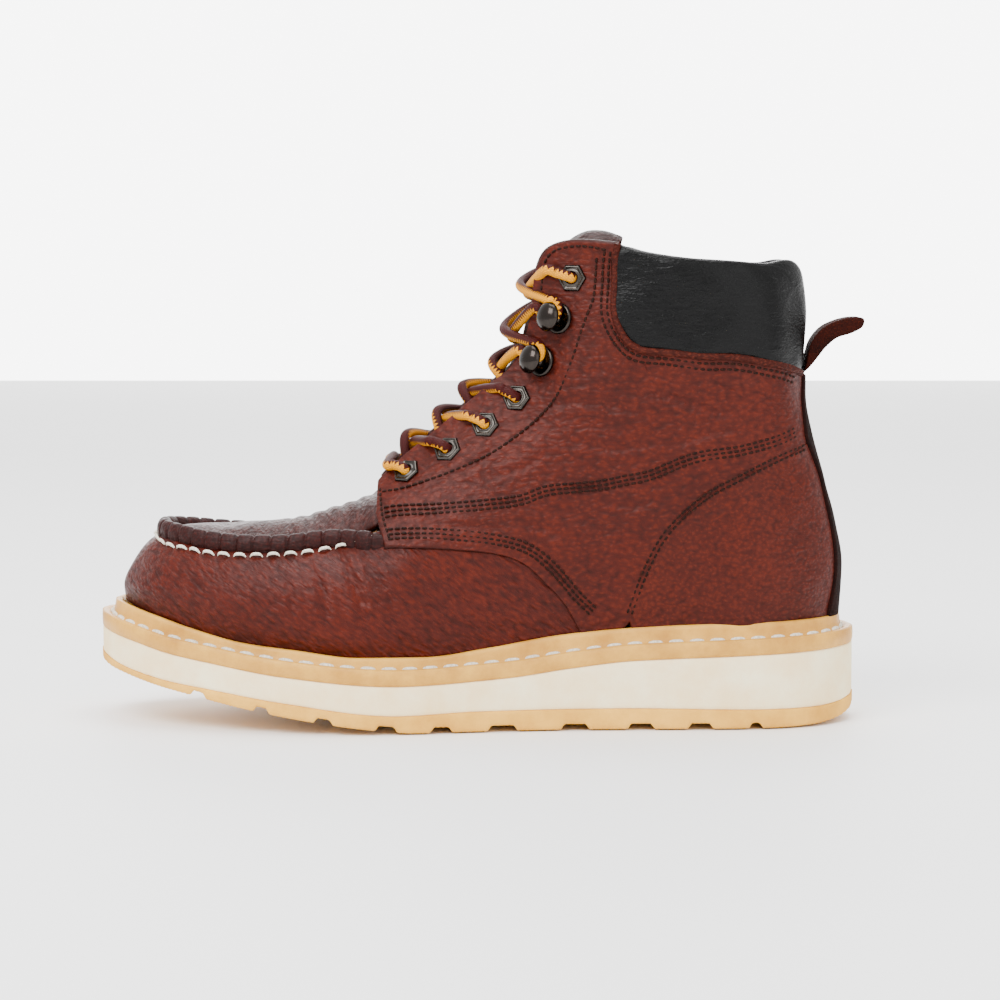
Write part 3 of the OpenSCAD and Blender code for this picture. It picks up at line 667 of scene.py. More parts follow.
def make_materials():
    edge = rgb(74, 34, 18)
    return {
        "vamp": leather("vamp_leather", rgb(70, 26, 12), rgb(115, 52, 26), rgb(132, 66, 37), 0.42, grain=1.3,
                        tilt=-35, stretch=2.0, depth=0.00026, edge=edge, folds=0.0006),
        "quarter": leather("quarter_leather", rgb(70, 27, 12), rgb(114, 52, 27), rgb(134, 68, 39), edge=edge),
        "counter": leather("counter_leather", rgb(72, 28, 13), rgb(116, 54, 28), rgb(134, 68, 39), grain=1.3,
                           stretch=1.2, depth=0.0002, edge=edge),
        "ridge": leather("ridge_leather", rgb(48, 15, 7), rgb(84, 32, 17), rgb(104, 44, 26), grain=1.0,
                         stretch=1.2, depth=0.00014),
        "plug": leather("plug_leather", rgb(56, 22, 12), rgb(94, 42, 24), rgb(118, 60, 38), grain=1.2,
                        tilt=80, stretch=2.2, depth=0.00022, edge=edge, folds=0.0004),
        "tongue": leather("tongue_leather", rgb(48, 19, 9), rgb(80, 34, 19), rgb(102, 50, 31), grain=1.2,
                          depth=0.0002, edge=edge),
        "raw_edge": leather("raw_edge_leather", rgb(62, 25, 12), rgb(104, 50, 28), rgb(136, 76, 48), 0.7, 0.9,
                            depth=0.0003),
        "suede": suede("backstay_suede", rgb(40, 17, 9), rgb(66, 30, 17), rgb(96, 50, 32)),
        "raw": suede("raw_leather", rgb(54, 23, 12), rgb(88, 42, 24), rgb(120, 66, 42)),
        "collar": leather("collar_leather", rgb(5, 5, 6), rgb(14, 13, 14), rgb(22, 21, 22), 0.3, 0.9,
                          stretch=1.4, depth=0.00008),
        "outsole": rubber("outsole_rubber", rgb(222, 180, 96), rgb(246, 208, 124), 0.7),
        "midsole": rubber("midsole_foam", rgb(250, 230, 190), rgb(255, 248, 222), 0.75),
        "welt": rubber("welt_rubber", rgb(200, 158, 84), rgb(236, 198, 116), 0.4, 0.00008),
        "lining": fabric("lining_cloth", rgb(132, 96, 62), rgb(176, 138, 98)),
        "footbed": fabric("footbed_cloth", rgb(38, 38, 40), rgb(70, 70, 74), 1.1),
        "board": fabric("board_fibre", rgb(120, 92, 62), rgb(158, 128, 92), 1.6, 0.05),
        "cork": rubber("cork_filler", rgb(110, 72, 42), rgb(168, 122, 80), 0.85, 0.0004, False),
        "steel": metal("inner_steel", rgb(150, 152, 156), 0.38),
        "gunmetal": metal("gunmetal", rgb(112, 108, 104), 0.2),
        "dome": metal("dark_chrome", rgb(96, 90, 86), 0.14, 0.00001),
        "dark_thread": thread("dark_thread", rgb(46, 24, 12), rgb(84, 50, 26)),
        "white_thread": thread("white_thread", rgb(205, 198, 184), rgb(240, 236, 226)),
        "lace": braid("lace_braid", rgb(244, 188, 12), rgb(104, 26, 10)),
        "aglet": metal("aglet_plastic", rgb(110, 70, 30), 0.25, 0.00001, 0.0),
    }


# ---- the sole ----
# The sole's half outline as [x, half width], heights along it as [x, z], and the notches as [x, width]
SOLE_HALF = [
    [-150, 0], [-147.5, 13], [-139, 27], [-123, 38], [-102, 46], [-78, 52], [-52, 54.5], [-26, 52.5],
    [0, 47.5], [26, 43.5], [52, 41.5], [78, 41], [102, 40], [122, 36], [137, 27], [147, 13], [150, 0],
]
GROUND = [
    [-151, 23.9], [-146, 21.3], [-138, 19.2], [-125, 15.9], [-110, 12.9], [-91, 9.1], [-64, 4.6], [-38, 1.2],
    [-22, 0], [115, 0], [131, 0.4], [143, 2], [151, 5.5],
]
TREAD_TOP = [
    [-151, 26.4], [-137, 21.5], [-120, 17.8], [-102, 15.4], [-72, 11.2], [-29, 6.7], [0, 7.7], [60, 8],
    [115, 7.2], [131, 7.3], [142, 8], [151, 10],
]
WEDGE_TOP = [
    [-151, 35.8], [-133, 32], [-120, 28.8], [-102, 25.8], [-72, 21.4], [-29, 18.2], [12, 20.5], [37, 23.9],
    [61, 26.6], [98, 28.1], [151, 29.9],
]
FEATHER = [
    [-151, 45.6], [-140, 44.4], [-126, 41.2], [-110, 36.9], [-90, 32.4], [-68, 30], [-45, 27.5], [-20, 27.4],
    [5, 30.3], [32, 34.7], [60, 37.4], [86, 38.7], [151, 40],
]
NOTCHES = [
    [-107, 5], [-82, 5], [-58, 6], [-34, 7], [-13, 7], [10.5, 10], [38.5, 9.6], [64, 9], [87, 8.4],
    [108.5, 4],
]
NOTCH_DEPTH = 2.1 * MM
FLANGE = 6.3  # height of the welt above the wedge, in millimetres
NOTCH_REACH = 16 * MM
RIB_DEPTH = 1.4 * MM
WALL_TUCK = 0.7 * MM


def sole_outline(step, inset=0.0):
    """Evenly spaced [x, half width] along one side of the sole, toe to heel, drawn in by inset."""
    line = even(curve(SOLE_HALF, np.linspace(0, 1, 3000)) * MM, step)
    tangent = np.gradient(line, axis=0)
    tangent[0], tangent[-1] = (0, 1), (0, -1)
    line = line + inset * unit(np.stack([tangent[:, 1], -tangent[:, 0]], 1))
    line[:, 1] = np.maximum(line[:, 1], 0)
    return line


def notch_share(x, half, across):
    """1 inside the notches between the edge lugs and 0 outside, with soft walls."""
    share = np.zeros(np.broadcast(x, across).shape)
    for middle, width in NOTCHES:
        inside = smoothstep(-1.0 * MM, 1.0 * MM, width * MM / 2 - np.abs(x - middle * MM))
        reach = smoothstep(-1.2 * MM, 1.2 * MM, np.abs(across) - (half - NOTCH_REACH))
        share = np.maximum(share, inside * reach)
    return share


def sole_layer(name, low, high, inset, step=0.6 * MM, cols=44, walls=9, tread=False):
    """A slab of the sole lofted from toe to heel: flat sections with rounded wall corners.
    With tread, its underside has the notches, the ribs of the middle and a fine edge."""
    line = sole_outline(step, inset)
    x = line[:, 0][:, None]
    half = line[:, 1][:, None]
    v = np.linspace(-1, 1, cols)[None]
    v = np.sign(v) * (1 - (1 - np.abs(v)) ** 1.25)
    under = low(x) + 0 * v
    if tread:
        across = v * half
        wave = x / (9 * MM) + 0.35 * np.sin(across / (6 * MM))
        rib = np.abs(wave % 1 - 0.5) * 2
        middle = smoothstep(0, 4 * MM, half - NOTCH_REACH - np.abs(across))
        flat = smoothstep(-128 * MM, -112 * MM, x) * (1 - smoothstep(126 * MM, 138 * MM, x))
        under = under + NOTCH_DEPTH * notch_share(x, half, across)
        under = under + middle * flat * RIB_DEPTH * smoothstep(0.42, 0.62, rib)
        rim = smoothstep(5 * MM, 0.5 * MM, half - np.abs(across))
        under = under + rim * 0.5 * MM * np.abs((x / (1.7 * MM) + 0.4 * np.sin(x / (5 * MM))) % 1 - 0.5)
    edge_low = under[:, -1:]
    over = high(x) + 0 * v
    w = np.linspace(0, 1, walls)[None, 1:-1]
    w = 0.5 - 0.5 * np.cos(np.pi * w)
    wall_z = mix(edge_low, over[:, -1:], w)
    corner = np.minimum(wall_z - edge_low, over[:, -1:] - wall_z)
    tuck = WALL_TUCK * (1 - np.clip(corner / (1.0 * MM), 0, 1)) ** 2
    right = np.stack([x + 0 * w, np.maximum(half - tuck, 0), wall_z], -1)
    left = right[:, ::-1] * [1, -1, 1]
    bottom = np.stack([x + 0 * v, v * np.maximum(half - WALL_TUCK, 0), under], -1)
    top = np.stack([x + 0 * v, -v * np.maximum(half - WALL_TUCK, 0), over], -1)
    loop = np.concatenate([bottom, right, top, left], 1)
    loop[..., 1] += swing(loop[..., 0])
    rows, count = loop.shape[:2]
    return new_object(name, loop, rod_faces(rows, count, flip=True))


def raised(profile, dz=0.0):
    """The height through a profile as a function of x, dz millimetres higher."""
    return lambda x: profile_height(profile, x) + dz * MM


def ring_line(step, inset):
    """Closed loop round the sole, drawn in by inset, with each point's outward direction and unswung x."""
    half = sole_outline(step)
    loop = np.concatenate([half * [1, -1], half[-2:0:-1]])
    tangent = unit(np.roll(loop, -1, 0) - np.roll(loop, 1, 0))
    outward = np.stack([tangent[:, 1], -tangent[:, 0]], 1)
    center = loop.mean(0)
    outward *= np.sign(((loop - center) * outward).sum(1))[:, None]
    points = loop - outward * inset
    return np.column_stack([points[:, 0], points[:, 1] + swing(points[:, 0])]), outward, points[:, 0]


def build_sole(m):
    outsole = sole_layer("Outsole", raised(GROUND), raised(TREAD_TOP), 0, tread=True, walls=7)
    finish_piece(outsole, m["outsole"], ["outsole"])
    midsole = sole_layer("Midsole", raised(TREAD_TOP, 0.02), raised(WEDGE_TOP), 0.3 * MM, walls=11)
    finish_piece(midsole, m["midsole"], ["midsole"])
    build_welt(m)


WELT_PITCH = 8 * MM


def build_welt(m):
    """The welt: a flange, a stitched groove and a storm ridge against the upper.
    Its section is [inset, share of the ridge's rise, height above the wedge]."""
    section = [
        [9.5, 0, 0.2], [0.5, 0, 0.1], [0.1, 0, 0.7], [0, 0, 3], [0.15, 0, 5.6], [0.8, 0, 6.3], [2.4, 0, 6.35],
        [3.3, 0, 5.8], [4.1, 0.02, 5.4], [4.8, 0.1, 5.8], [5.3, 0.42, 6.1], [5.5, 0.7, 6.2], [5.8, 0.98, 6.2],
        [6.5, 1.06, 6.2], [7.8, 1.06, 6.2], [8.4, 1.0, 6], [9.0, 0.8, 5.8], [9.5, 0.4, 4],
    ]
    rows = []
    for inset, rise, height in section:
        points, _, x = ring_line(0.9 * MM, inset * MM)
        wedge = profile_height(WEDGE_TOP, x)
        ridge = profile_height(FEATHER, x) + 1.0 * MM - wedge - FLANGE * MM
        z = wedge + height * MM + rise * np.maximum(ridge, 1 * MM)
        rows.append(np.column_stack([points, z]))
    loop = np.stack(rows, 1)
    welt = new_object("Welt", loop, grid_faces(*loop.shape[:2], wrap_rows=True, wrap_cols=True))
    finish_piece(welt, m["welt"], ["welt"])
    fix_normals(welt)
    points, outward, x = ring_line(0.5 * MM, 4.3 * MM)
    line = np.column_stack([points, profile_height(WEDGE_TOP, x) + FLANGE * MM - 0.2 * MM, outward])
    line = even(np.concatenate([line, line[:1]]), WELT_PITCH)
    up = unit(np.column_stack([line[:, 3:5] * 0.6, np.ones(len(line))]))
    row = (line[:, :3], up)
    stitches("Welt_stitches", [row], 7.5 * MM, 1.05 * MM, m["white_thread"], 0.4)


# ---- the upper ----
def offset(points, distance):
    """The [x, z] line moved sideways by a distance in millimetres, to the left of its direction."""
    p = np.array(points, float)
    tangent = unit(np.gradient(p, axis=0))
    return p + distance * np.stack([-tangent[:, 1], tangent[:, 0]], 1)


# Creases of the worn leather: a line of [x, z] on the side of the boot, then depth and width in millimetres
VAMP_CREASES = [
    ([[-66, 66], [-60, 58], [-57, 48], [-58, 40]], 0.9, 2.2),
    ([[-54, 67], [-47, 58], [-43, 47], [-43, 38]], 1.1, 2.4),
    ([[-44, 66], [-36, 57], [-31, 47], [-30, 40]], 0.8, 2.0),
    ([[-73, 60], [-70, 52], [-70, 44]], 0.6, 1.8),
    ([[-30, 66], [-22, 58], [-17, 48], [-15, 38]], 0.7, 2.0),
    ([[-16, 66], [-8, 58], [-3, 50], [-1, 42]], 0.5, 1.9),
    ([[-50, 52], [-40, 50], [-30, 52]], 0.5, 1.6),
    ([[6, 63], [12, 54], [14, 44]], 0.4, 1.8),
]
QUARTER_CREASES = [
    ([[-24, 92], [-10, 96], [2, 103], [12, 112]], 0.4, 1.8),
    ([[26, 124], [40, 126], [56, 124], [72, 118]], 0.7, 2.4),
    ([[38, 136], [50, 138], [62, 134]], 0.5, 2.0),
    ([[58, 130], [76, 128], [94, 122], [108, 124]], 0.8, 2.6),
    ([[36, 112], [52, 108], [68, 110]], 0.6, 2.4),
    ([[84, 136], [98, 132], [112, 132]], 0.5, 2.0),
    ([[74, 108], [90, 114], [108, 116]], 0.5, 2.2),
    ([[2, 96], [18, 100], [30, 108]], 0.4, 2.0),
]
SIDE_CREASES = [
    ([[8, 80], [24, 78], [38, 72], [48, 60]], 0.6, 2.4),
    ([[34, 86], [46, 78], [54, 66]], 0.4, 2.0),
    ([[-14, 78], [2, 78], [16, 76]], 0.4, 1.8),
    ([[48, 88], [60, 86], [72, 88]], 0.4, 2.0),
]


def crease_height(point, creases):
    """Height of the creases at points near the side of the boot: a valley with a small swell on each side."""
    height = np.zeros(point.shape[:-1])
    for line, depth, width in creases:
        dense = curve(np.array(line) * MM, np.linspace(0, 1, 24))
        taper = np.sin(np.linspace(0.12, np.pi - 0.12, 24))
        gap = np.full(height.shape, 9.0)
        strength = np.zeros(height.shape)
        for q, power in zip(dense, taper):
            d = np.hypot(point[..., 0] - q[0], point[..., 2] - q[1])
            closer = d < gap
            gap = np.where(closer, d, gap)
            strength = np.where(closer, power, strength)
        f = gap / (width * MM)
        valley = -np.exp(-((1.6 * f) ** 2))
        swell = 0.55 * np.exp(-((f - 1.5) ** 2) * 1.5)
        height += strength * depth * MM * (valley + swell)
    return height


WAVES = [(unit(rng.normal(size=3)), rng.uniform(12, 40), rng.uniform(0, 6.28)) for _ in range(14)]


def unevenness(point, size=0.22 * MM):
    """Gentle random swells, so that no panel is perfectly smooth."""
    total = np.zeros(point.shape[:-1])
    for direction, length, phase in WAVES:
        total += np.sin(point @ direction * 2 * np.pi / (length * MM) + phase)
    return total * size / 3


def with_creases(creases):
    return lambda t, s, p: crease_height(p, creases) + unevenness(p)


def both_ways(edge, centre):
    """An edge line from the centre line outwards, doubled to both sides of it."""
    edge = np.asarray(edge)
    return np.concatenate([np.column_stack([2 * centre - edge[:0:-1, 0], edge[:0:-1, 1]]), edge])


BACK = 0.975


def to_back(line, point):
    """A [t, s] line drawn on to the back of the boot, at the height of the point [x, z]."""
    return np.concatenate([line, [[BACK, find(point)[0, 1]]]])


BAND = to_back(find(BAND_SEAM), [126.5, 114.2])
LAP = 1.3 * MM  # how far the overlapping panels stand off the skin
PANEL_STEP = 1.0 * MM  # spacing of the panels' grids
MOC_EDGE = [[i / LAST, 1] for i in range(6)]
VAMP_HIGH = np.concatenate([MOC_EDGE, find([-52, 70.5]), find(VAMP_SEAM)])
VAMP_UNDER = [[-33, 78], [-20, 77], [-6, 76.5], [12, 74.5], [25, 69], [35, 59], [43, 47]]


def build_panels(m):
    high = np.concatenate([MOC_EDGE, find([-52, 70.5]), find(VAMP_UNDER)])
    toe_low = np.column_stack([np.linspace(0, find([47, 39.4])[0, 0], len(high)), np.zeros(len(high))])

    def vamp_shape(t, s, p):
        tuck = -1.2 * MM * smoothstep(0, 0.05, np.abs(t) - 0.47) * smoothstep(0.75, 1.0, s)
        return crease_height(p, VAMP_CREASES) + unevenness(p, 0.15 * MM) + tuck

    vamp = panel("Vamp", both_ways(toe_low, 0), both_ways(high, 0), 1, PANEL_STEP, 0, 2 * MM, vamp_shape)
    finish_piece(vamp, m["vamp"], ["vamp"])
    for word, side in SIDES.items():
        build_side(m, word, side)
    front = find(BACKSTAY_FRONT)
    low = np.concatenate([[[front[0, 0], 0]], front])
    mirrored = np.column_stack([2 - low[:, 0], low[:, 1]])
    backstay = panel("Backstay", mirrored, low, 1, 0.9 * MM, 2.4 * MM, 2.6 * MM,
                     lambda t, s, p: unevenness(p, 0.2 * MM))
    finish_piece(backstay, m["suede"], ["backstay"])
    fix_normals(backstay)


def build_side(m, word, side):
    counter_line = to_back(np.concatenate([find([59.5, 40.6]), find(COUNTER_SEAM)]), [129.4, 109.6])
    feather = np.column_stack([np.linspace(find([41, 39.3])[0, 0], counter_line[0, 0], 5), np.zeros(5)])
    side_low = np.concatenate([find(VAMP_SEAM), feather[:-1], counter_line])
    side_high = curve(BAND, np.linspace(0, 1, 120))
    quarter_low = curve(BAND, np.linspace(0, 1, 120) ** 1.1)
    collar_seam = to_back(find(COLLAR_SEAM), [126.8, 136.6])
    quarter_high = np.concatenate([find(THROAT_EDGE), find(FLAP_TOP), collar_seam])
    ends = np.linspace(counter_line[0, 0], BACK, len(counter_line))
    counter_low = np.column_stack([ends, 0 * ends])
    for name, look, low, high, creases, seam in (
        ("Side_panel", "quarter", side_low, side_high, SIDE_CREASES, "high"),
        ("Quarter", "quarter", quarter_low, quarter_high, QUARTER_CREASES, "low"),
        ("Counter", "counter", counter_low, counter_line, [], "high"),
    ):
        obj = panel(f"{name}_{word}", low, high, side, PANEL_STEP, LAP, 2.2 * MM, with_creases(creases),
                    seams=(seam,))
        fix_normals(obj)
        finish_piece(obj, m[look], [f"{name.lower()}_{word}"])
    seam = find(offset(COLLAR_SEAM, -0.2))
    line, _ = surface_line(seam, side, 0.9 * MM, LAP + 0.1 * MM)
    roll = tube(f"Collar_edge_{word}", line, 1.4 * MM, 14)
    finish_piece(roll, m["raw_edge"])


# Rows of stitching on each side, as a line of [x, z] and the offsets of its rows in millimetres
STITCH_ROWS = [
    ([[-35, 82.4], [-20.8, 84.2], [-1.2, 85.7], [17.2, 88], [28.7, 91.9], [54.4, 95.1], [71.3, 99.3],
      [94.8, 106.3], [123.4, 113.7]], [-1.7, 0, 1.7]),
    ([[-33.6, 69.3], [-9, 69.6], [6.6, 68], [17.2, 65.3], [24.6, 60], [34.4, 48.9], [41.8, 41.5]],
     [3.5, 5.2, 7]),
    ([[59.4, 44], [61.7, 50.6], [65.8, 61.3], [71.7, 72.6], [77.5, 79.7], [84.6, 86.3], [95.2, 93.4],
      [106.9, 99.3], [118.6, 104.6], [127.4, 107.5]], [-0.9, 0.9]),
    ([[47.2, 181.6], [46.5, 172], [45.1, 163.4], [40, 148.7], [34.9, 134.1], [26.8, 121.6], [15.8, 112],
      [4.8, 104.7], [-11.4, 97.3], [-27.6, 91.6], [-36, 89.6]], [0]),
    ([[-36.6, 91], [-35.6, 82], [-32.8, 73]], [0]),
    ([[25, 158], [26.4, 170], [27.4, 179.5], [30.5, 183.6], [36, 185.5], [44, 185.8], [51, 184.5]], [0]),
    ([[55.2, 184], [54.2, 172], [54.6, 157], [63, 146.6], [82, 144.4], [100, 143.4], [113, 141],
      [124, 137.4]], [-2.7, -4.9]),
]


STITCH_PITCH = 2.6 * MM


def build_stitching(m):
    for word, side in SIDES.items():
        rows = []
        for line, offsets in STITCH_ROWS:
            for distance in offsets:
                rows.append(surface_line(find(offset(line, distance)), side, STITCH_PITCH, LAP + 0.12 * MM))
        stitches(f"Stitching_{word}", rows, 2.4 * MM, 0.5 * MM, m["dark_thread"])


# ---- the moc toe ----
# The toe plug's sections as [x, half width, height at its edge, height in its middle]
PLUG = [
    [-121.3, 7.5, 73, 74], [-113, 15, 72.5, 75.5], [-102, 21.5, 71.5, 76], [-86, 26.5, 71, 77],
    [-68, 28, 72, 79.5], [-56, 28, 73, 82.5], [-46, 27, 75, 86], [-38, 28.5, 79, 90], [-31, 26, 86, 94],
]
PLUG_FOLDS = (-74, -66, -60, -53, -47, -41)
MOC_PITCH = 6.9 * MM
MOC_STEP = 0.45 * MM
MOC_STITCHES = [
    [-125.5, 70], [-120, 68.3], [-111, 67.6], [-104.9, 66.6], [-90.8, 65.9], [-74.8, 66.6], [-65.3, 67.4],
    [-55.7, 69], [-46.1, 71.4], [-36, 74.4],
]


def plug_sheet(name, u, v, drop, thick, spread, crease=0.0):
    """A sheet over the toe: drop below the plug's face, spread times as wide, with flex folds crease deep."""
    u, v = np.meshgrid(u, v, indexing="ij")
    p = curve(PLUG, u) * MM
    y = p[..., 1] * spread * v
    z = mix(p[..., 3], p[..., 2], np.abs(v) ** 2.2) - drop
    point = np.stack([p[..., 0], y + swing(p[..., 0]), z], -1)
    lift = unevenness(point, 0.3 * MM) * (crease > 0)
    for x in PLUG_FOLDS:
        bend = x * MM + 5 * MM * v**2 + 1.2 * MM * np.sin(5 * v + x)
        d = (point[..., 0] - bend) / (1.5 * MM)
        lift = lift + crease * (0.5 * np.exp(-((d - 1.6) ** 2)) - np.exp(-d * d)) * (1 - 0.5 * np.abs(v))
    outer = point + np.stack([0 * lift, 0 * lift, lift], -1)
    inner = point - [0, 0, thick]
    obj = sheet(name, outer, inner)
    fix_normals(obj)
    return obj


def moc_rail():
    """Dense points along the moc seam, lateral end to medial end, with the outward direction."""
    f = np.linspace(-1, 1, 4000)
    q = curve(VAMP_HIGH, np.abs(f) * 0.55)
    t = np.sign(f) * q[:, 0]
    n = skin_normal(t, np.minimum(q[:, 1], 0.96))
    out = unit(n * [1, 1, 0])
    return np.column_stack([skin(t, q[:, 1]), out])


def build_moc(m):
    """The toe plug and the puckered ridge round it, drawn in by a slit at each white stitch."""
    plug = plug_sheet("Toe_plug", np.linspace(0, 1, 150), np.linspace(-1, 1, 70), 0, 2 * MM, 1.0, 0.5 * MM)
    finish_piece(plug, m["plug"], ["toe_plug"])
    rail = even(moc_rail(), MOC_STEP)
    run = np.arange(len(rail)) * MOC_STEP
    middle = run[-1] / 2
    phase = np.abs(((run - middle) / MOC_PITCH) % 1 - 0.5) * 2
    slit = np.exp(-(((1 - phase) * MOC_PITCH / 2 / (0.42 * MM)) ** 2))
    puff = np.sin(np.pi * (1 - phase) / 2) ** 0.7
    ends = smoothstep(0, 9 * MM, run) * smoothstep(0, 9 * MM, run[-1] - run)
    angle = turns(36)
    out, up = np.cos(angle)[None], np.sin(angle)[None]
    wide = 3.0 * MM * (0.96 + 0.07 * puff[:, None])
    tall = 4.6 * MM * (0.95 + 0.06 * puff[:, None])
    cut = 1 - 0.26 * slit[:, None] * (0.35 + 0.65 * smoothstep(-0.5, 0.5, out))
    scale = cut * (0.65 + 0.35 * ends[:, None])
    centre = rail[:, :3] - (3.4 - 1.8 * ends[:, None]) * MM * rail[:, 3:] + [0, 0, 1.6 * MM]
    ring = centre[:, None] + (wide * scale * out)[..., None] * rail[:, None, 3:]
    ring[..., 2] += tall * scale * up
    ridge = new_object("Moc_ridge", ring, rod_faces(len(rail), len(angle)))
    fix_normals(ridge)
    finish_piece(ridge, m["ridge"], ["moc_roll"])
    line = np.concatenate([[[0.0, 0.93], [0.03, 0.935]], find(MOC_STITCHES)[1:]])
    rows = [surface_line(line, side, MOC_PITCH, 1.5 * MM) for side in SIDES.values()]
    stitches("Moc_stitches", rows, 5.6 * MM, 0.65 * MM, m["white_thread"], 0.8)


# ---- collar, tongue, heel loop and linings ----
LINING_TOP = [
    [113, 172], [98, 172.5], [82, 174], [62, 178.5], [46, 184], [32, 181.5], [26, 172], [21, 150], [10, 134],
    [-8, 119.5], [-24, 105.5], [-36, 94],
]
COLLAR_TUCK = 2.5  # how far the collar reaches under the quarters, in millimetres
COLLAR_TOP = [[123, 180.5], [113, 179.5], [99, 180.3], [82, 181.4], [68, 183.2], [56.5, 186]]


def build_collar(m):
    """The padded collar: a flat rod round the back, with ends that thin out under the quarters."""
    seam = find(offset(COLLAR_SEAM, -COLLAR_TUCK)[::-1])
    low = both_ways(np.concatenate([[[1, find([127.2, 137.2])[0, 1]]], seam]), 1)
    high = both_ways(np.concatenate([[[1, find([127.4, 174])[0, 1]]], find(COLLAR_TOP)]), 1)
    rows = np.linspace(0, 1, 300)
    turn = turns(56)
    low_line, high_line = curve(low, rows), curve(high, rows)
    v = 0.5 - 0.5 * np.sign(np.cos(turn)) * np.abs(np.cos(turn)) ** 0.75
    q = mix(low_line[:, None], high_line[:, None], v[None, :, None])
    out = np.sin(turn)[None] + 0 * rows[:, None]
    p = skin(q[..., 0], q[..., 1])
    n = skin_normal(q[..., 0], q[..., 1])
    body = np.sign(out) * np.abs(out) ** 0.7
    height = np.where(out > 0, 3.4 * MM, 4.2 * MM) * body - 1.2 * MM
    loose = 0.3 * MM * np.sin(q[..., 0] * 90 + 3 * np.sin(q[..., 1] * 9)) * np.clip(out, 0, 1)
    height = height + loose + unevenness(p, 0.3 * MM)
    ends = smoothstep(0, 0.03, rows) * smoothstep(0, 0.03, 1 - rows)
    height = height * (0.3 + 0.7 * ends[:, None])
    points = p + n * height[..., None]
    collar = new_object("Collar", points, rod_faces(len(rows), len(turn)))
    fix_normals(collar)
    finish_piece(collar, m["collar"], ["collar"])


# The tongue's sections as [x, z, half width, how far its sides bend inwards]
TONGUE = [
    [-33.5, 88.5, 12, 5], [-14.2, 102.9, 13.5, 7], [4.1, 117.9, 14.5, 8], [16.2, 130.3, 14.5, 10],
    [16.8, 143, 14, 13], [19.2, 154, 14, 13], [22.5, 165, 14.5, 12], [27.6, 176.5, 15, 12], [34, 186, 17, 10],
    [42, 191.3, 18, 9], [50, 192.3, 18, 9], [58, 189.6, 17, 9],
]


def tongue_sheet(name, start, end, depth, thick, material, node, puff=0.0):
    """One layer of the tongue from start to end of its length: depth below its face, puff thicker inside."""
    u = mix(start, end, edge_steps(0.15, 1.2 * MM, 1.5 * MM))
    v = 2 * edge_steps(0.05, 1.1 * MM, 1.5 * MM) - 1
    u, v = np.meshgrid(u, v, indexing="ij")
    p = curve(TONGUE, u) * MM
    e = 0.01
    d = curve(TONGUE, np.minimum(1, u + e)) - curve(TONGUE, np.maximum(0, u - e))
    inward = unit(np.stack([d[..., 1], 0 * u, -d[..., 0]], -1))
    base = np.stack([p[..., 0], v * p[..., 2], p[..., 1]], -1)
    edge = np.minimum(1 - np.abs(v), np.minimum(u - start, end - u) * 8)
    soft = np.sqrt(np.clip(edge / 0.1, 0, 1))
    bend = (p[..., 3] * v * v)[..., None]
    outer = base + inward * (depth + (1 - soft)[..., None] * thick * 0.4 + bend)
    outer = outer - inward * unevenness(base, 0.25 * MM)[..., None]
    inner = base + inward * (depth + thick + bend + (puff * soft)[..., None])
    obj = sheet(name, outer, inner, body=None)
    fix_normals(obj)
    finish_piece(obj, material, [node])
    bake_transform(obj)
    return obj


def build_tongue(m):
    tongue_sheet("Tongue", 0, 1, 0, 1.8 * MM, m["tongue"], "tongue")
    pad = tongue_sheet("Tongue_padding", 0.06, 0.995, 1.8 * MM, 1.8 * MM, m["lining"],
                       "tongue_padding", 1.6 * MM)


def build_pull_tab(m):
    """A thick leather tab folded over at the back of the collar."""
    side = [[129, 136.4], [131.2, 138.4], [134.4, 142.4], [137.6, 146.4], [142, 150], [148, 152],
            [152, 154.4], [152, 157.8], [145, 157.6], [137, 154.4], [132.2, 149], [130.2, 143]]
    outline = even(np.concatenate([curve(side, np.linspace(0, 1, 300)), [side[0]]]) * MM, 0.8 * MM)[:-1]
    y = 8 * MM * (2 * edge_steps(0.016, 0.9 * MM, 1.0 * MM) - 1)
    rounding = 1.2 * MM
    edge = np.minimum(y[-1] - np.abs(y), rounding) / rounding
    centre = outline.mean(0)
    shrink = 1 - 0.1 * (1 - np.sqrt(1 - (1 - edge) ** 2))
    rings = []
    for k, across in enumerate(y):
        p = centre + (outline - centre) * shrink[k]
        rings.append(np.column_stack([p[:, 0], np.full(len(p), across), p[:, 1]]))
    rings = np.array(rings)
    tab = new_object("Pull_tab", rings, rod_faces(*rings.shape[:2]), body=None)
    fix_normals(tab)
    finish_piece(tab, m["raw"], ["pull_tab"])
    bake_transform(tab)


LINING_LIFT = -4.2 * MM


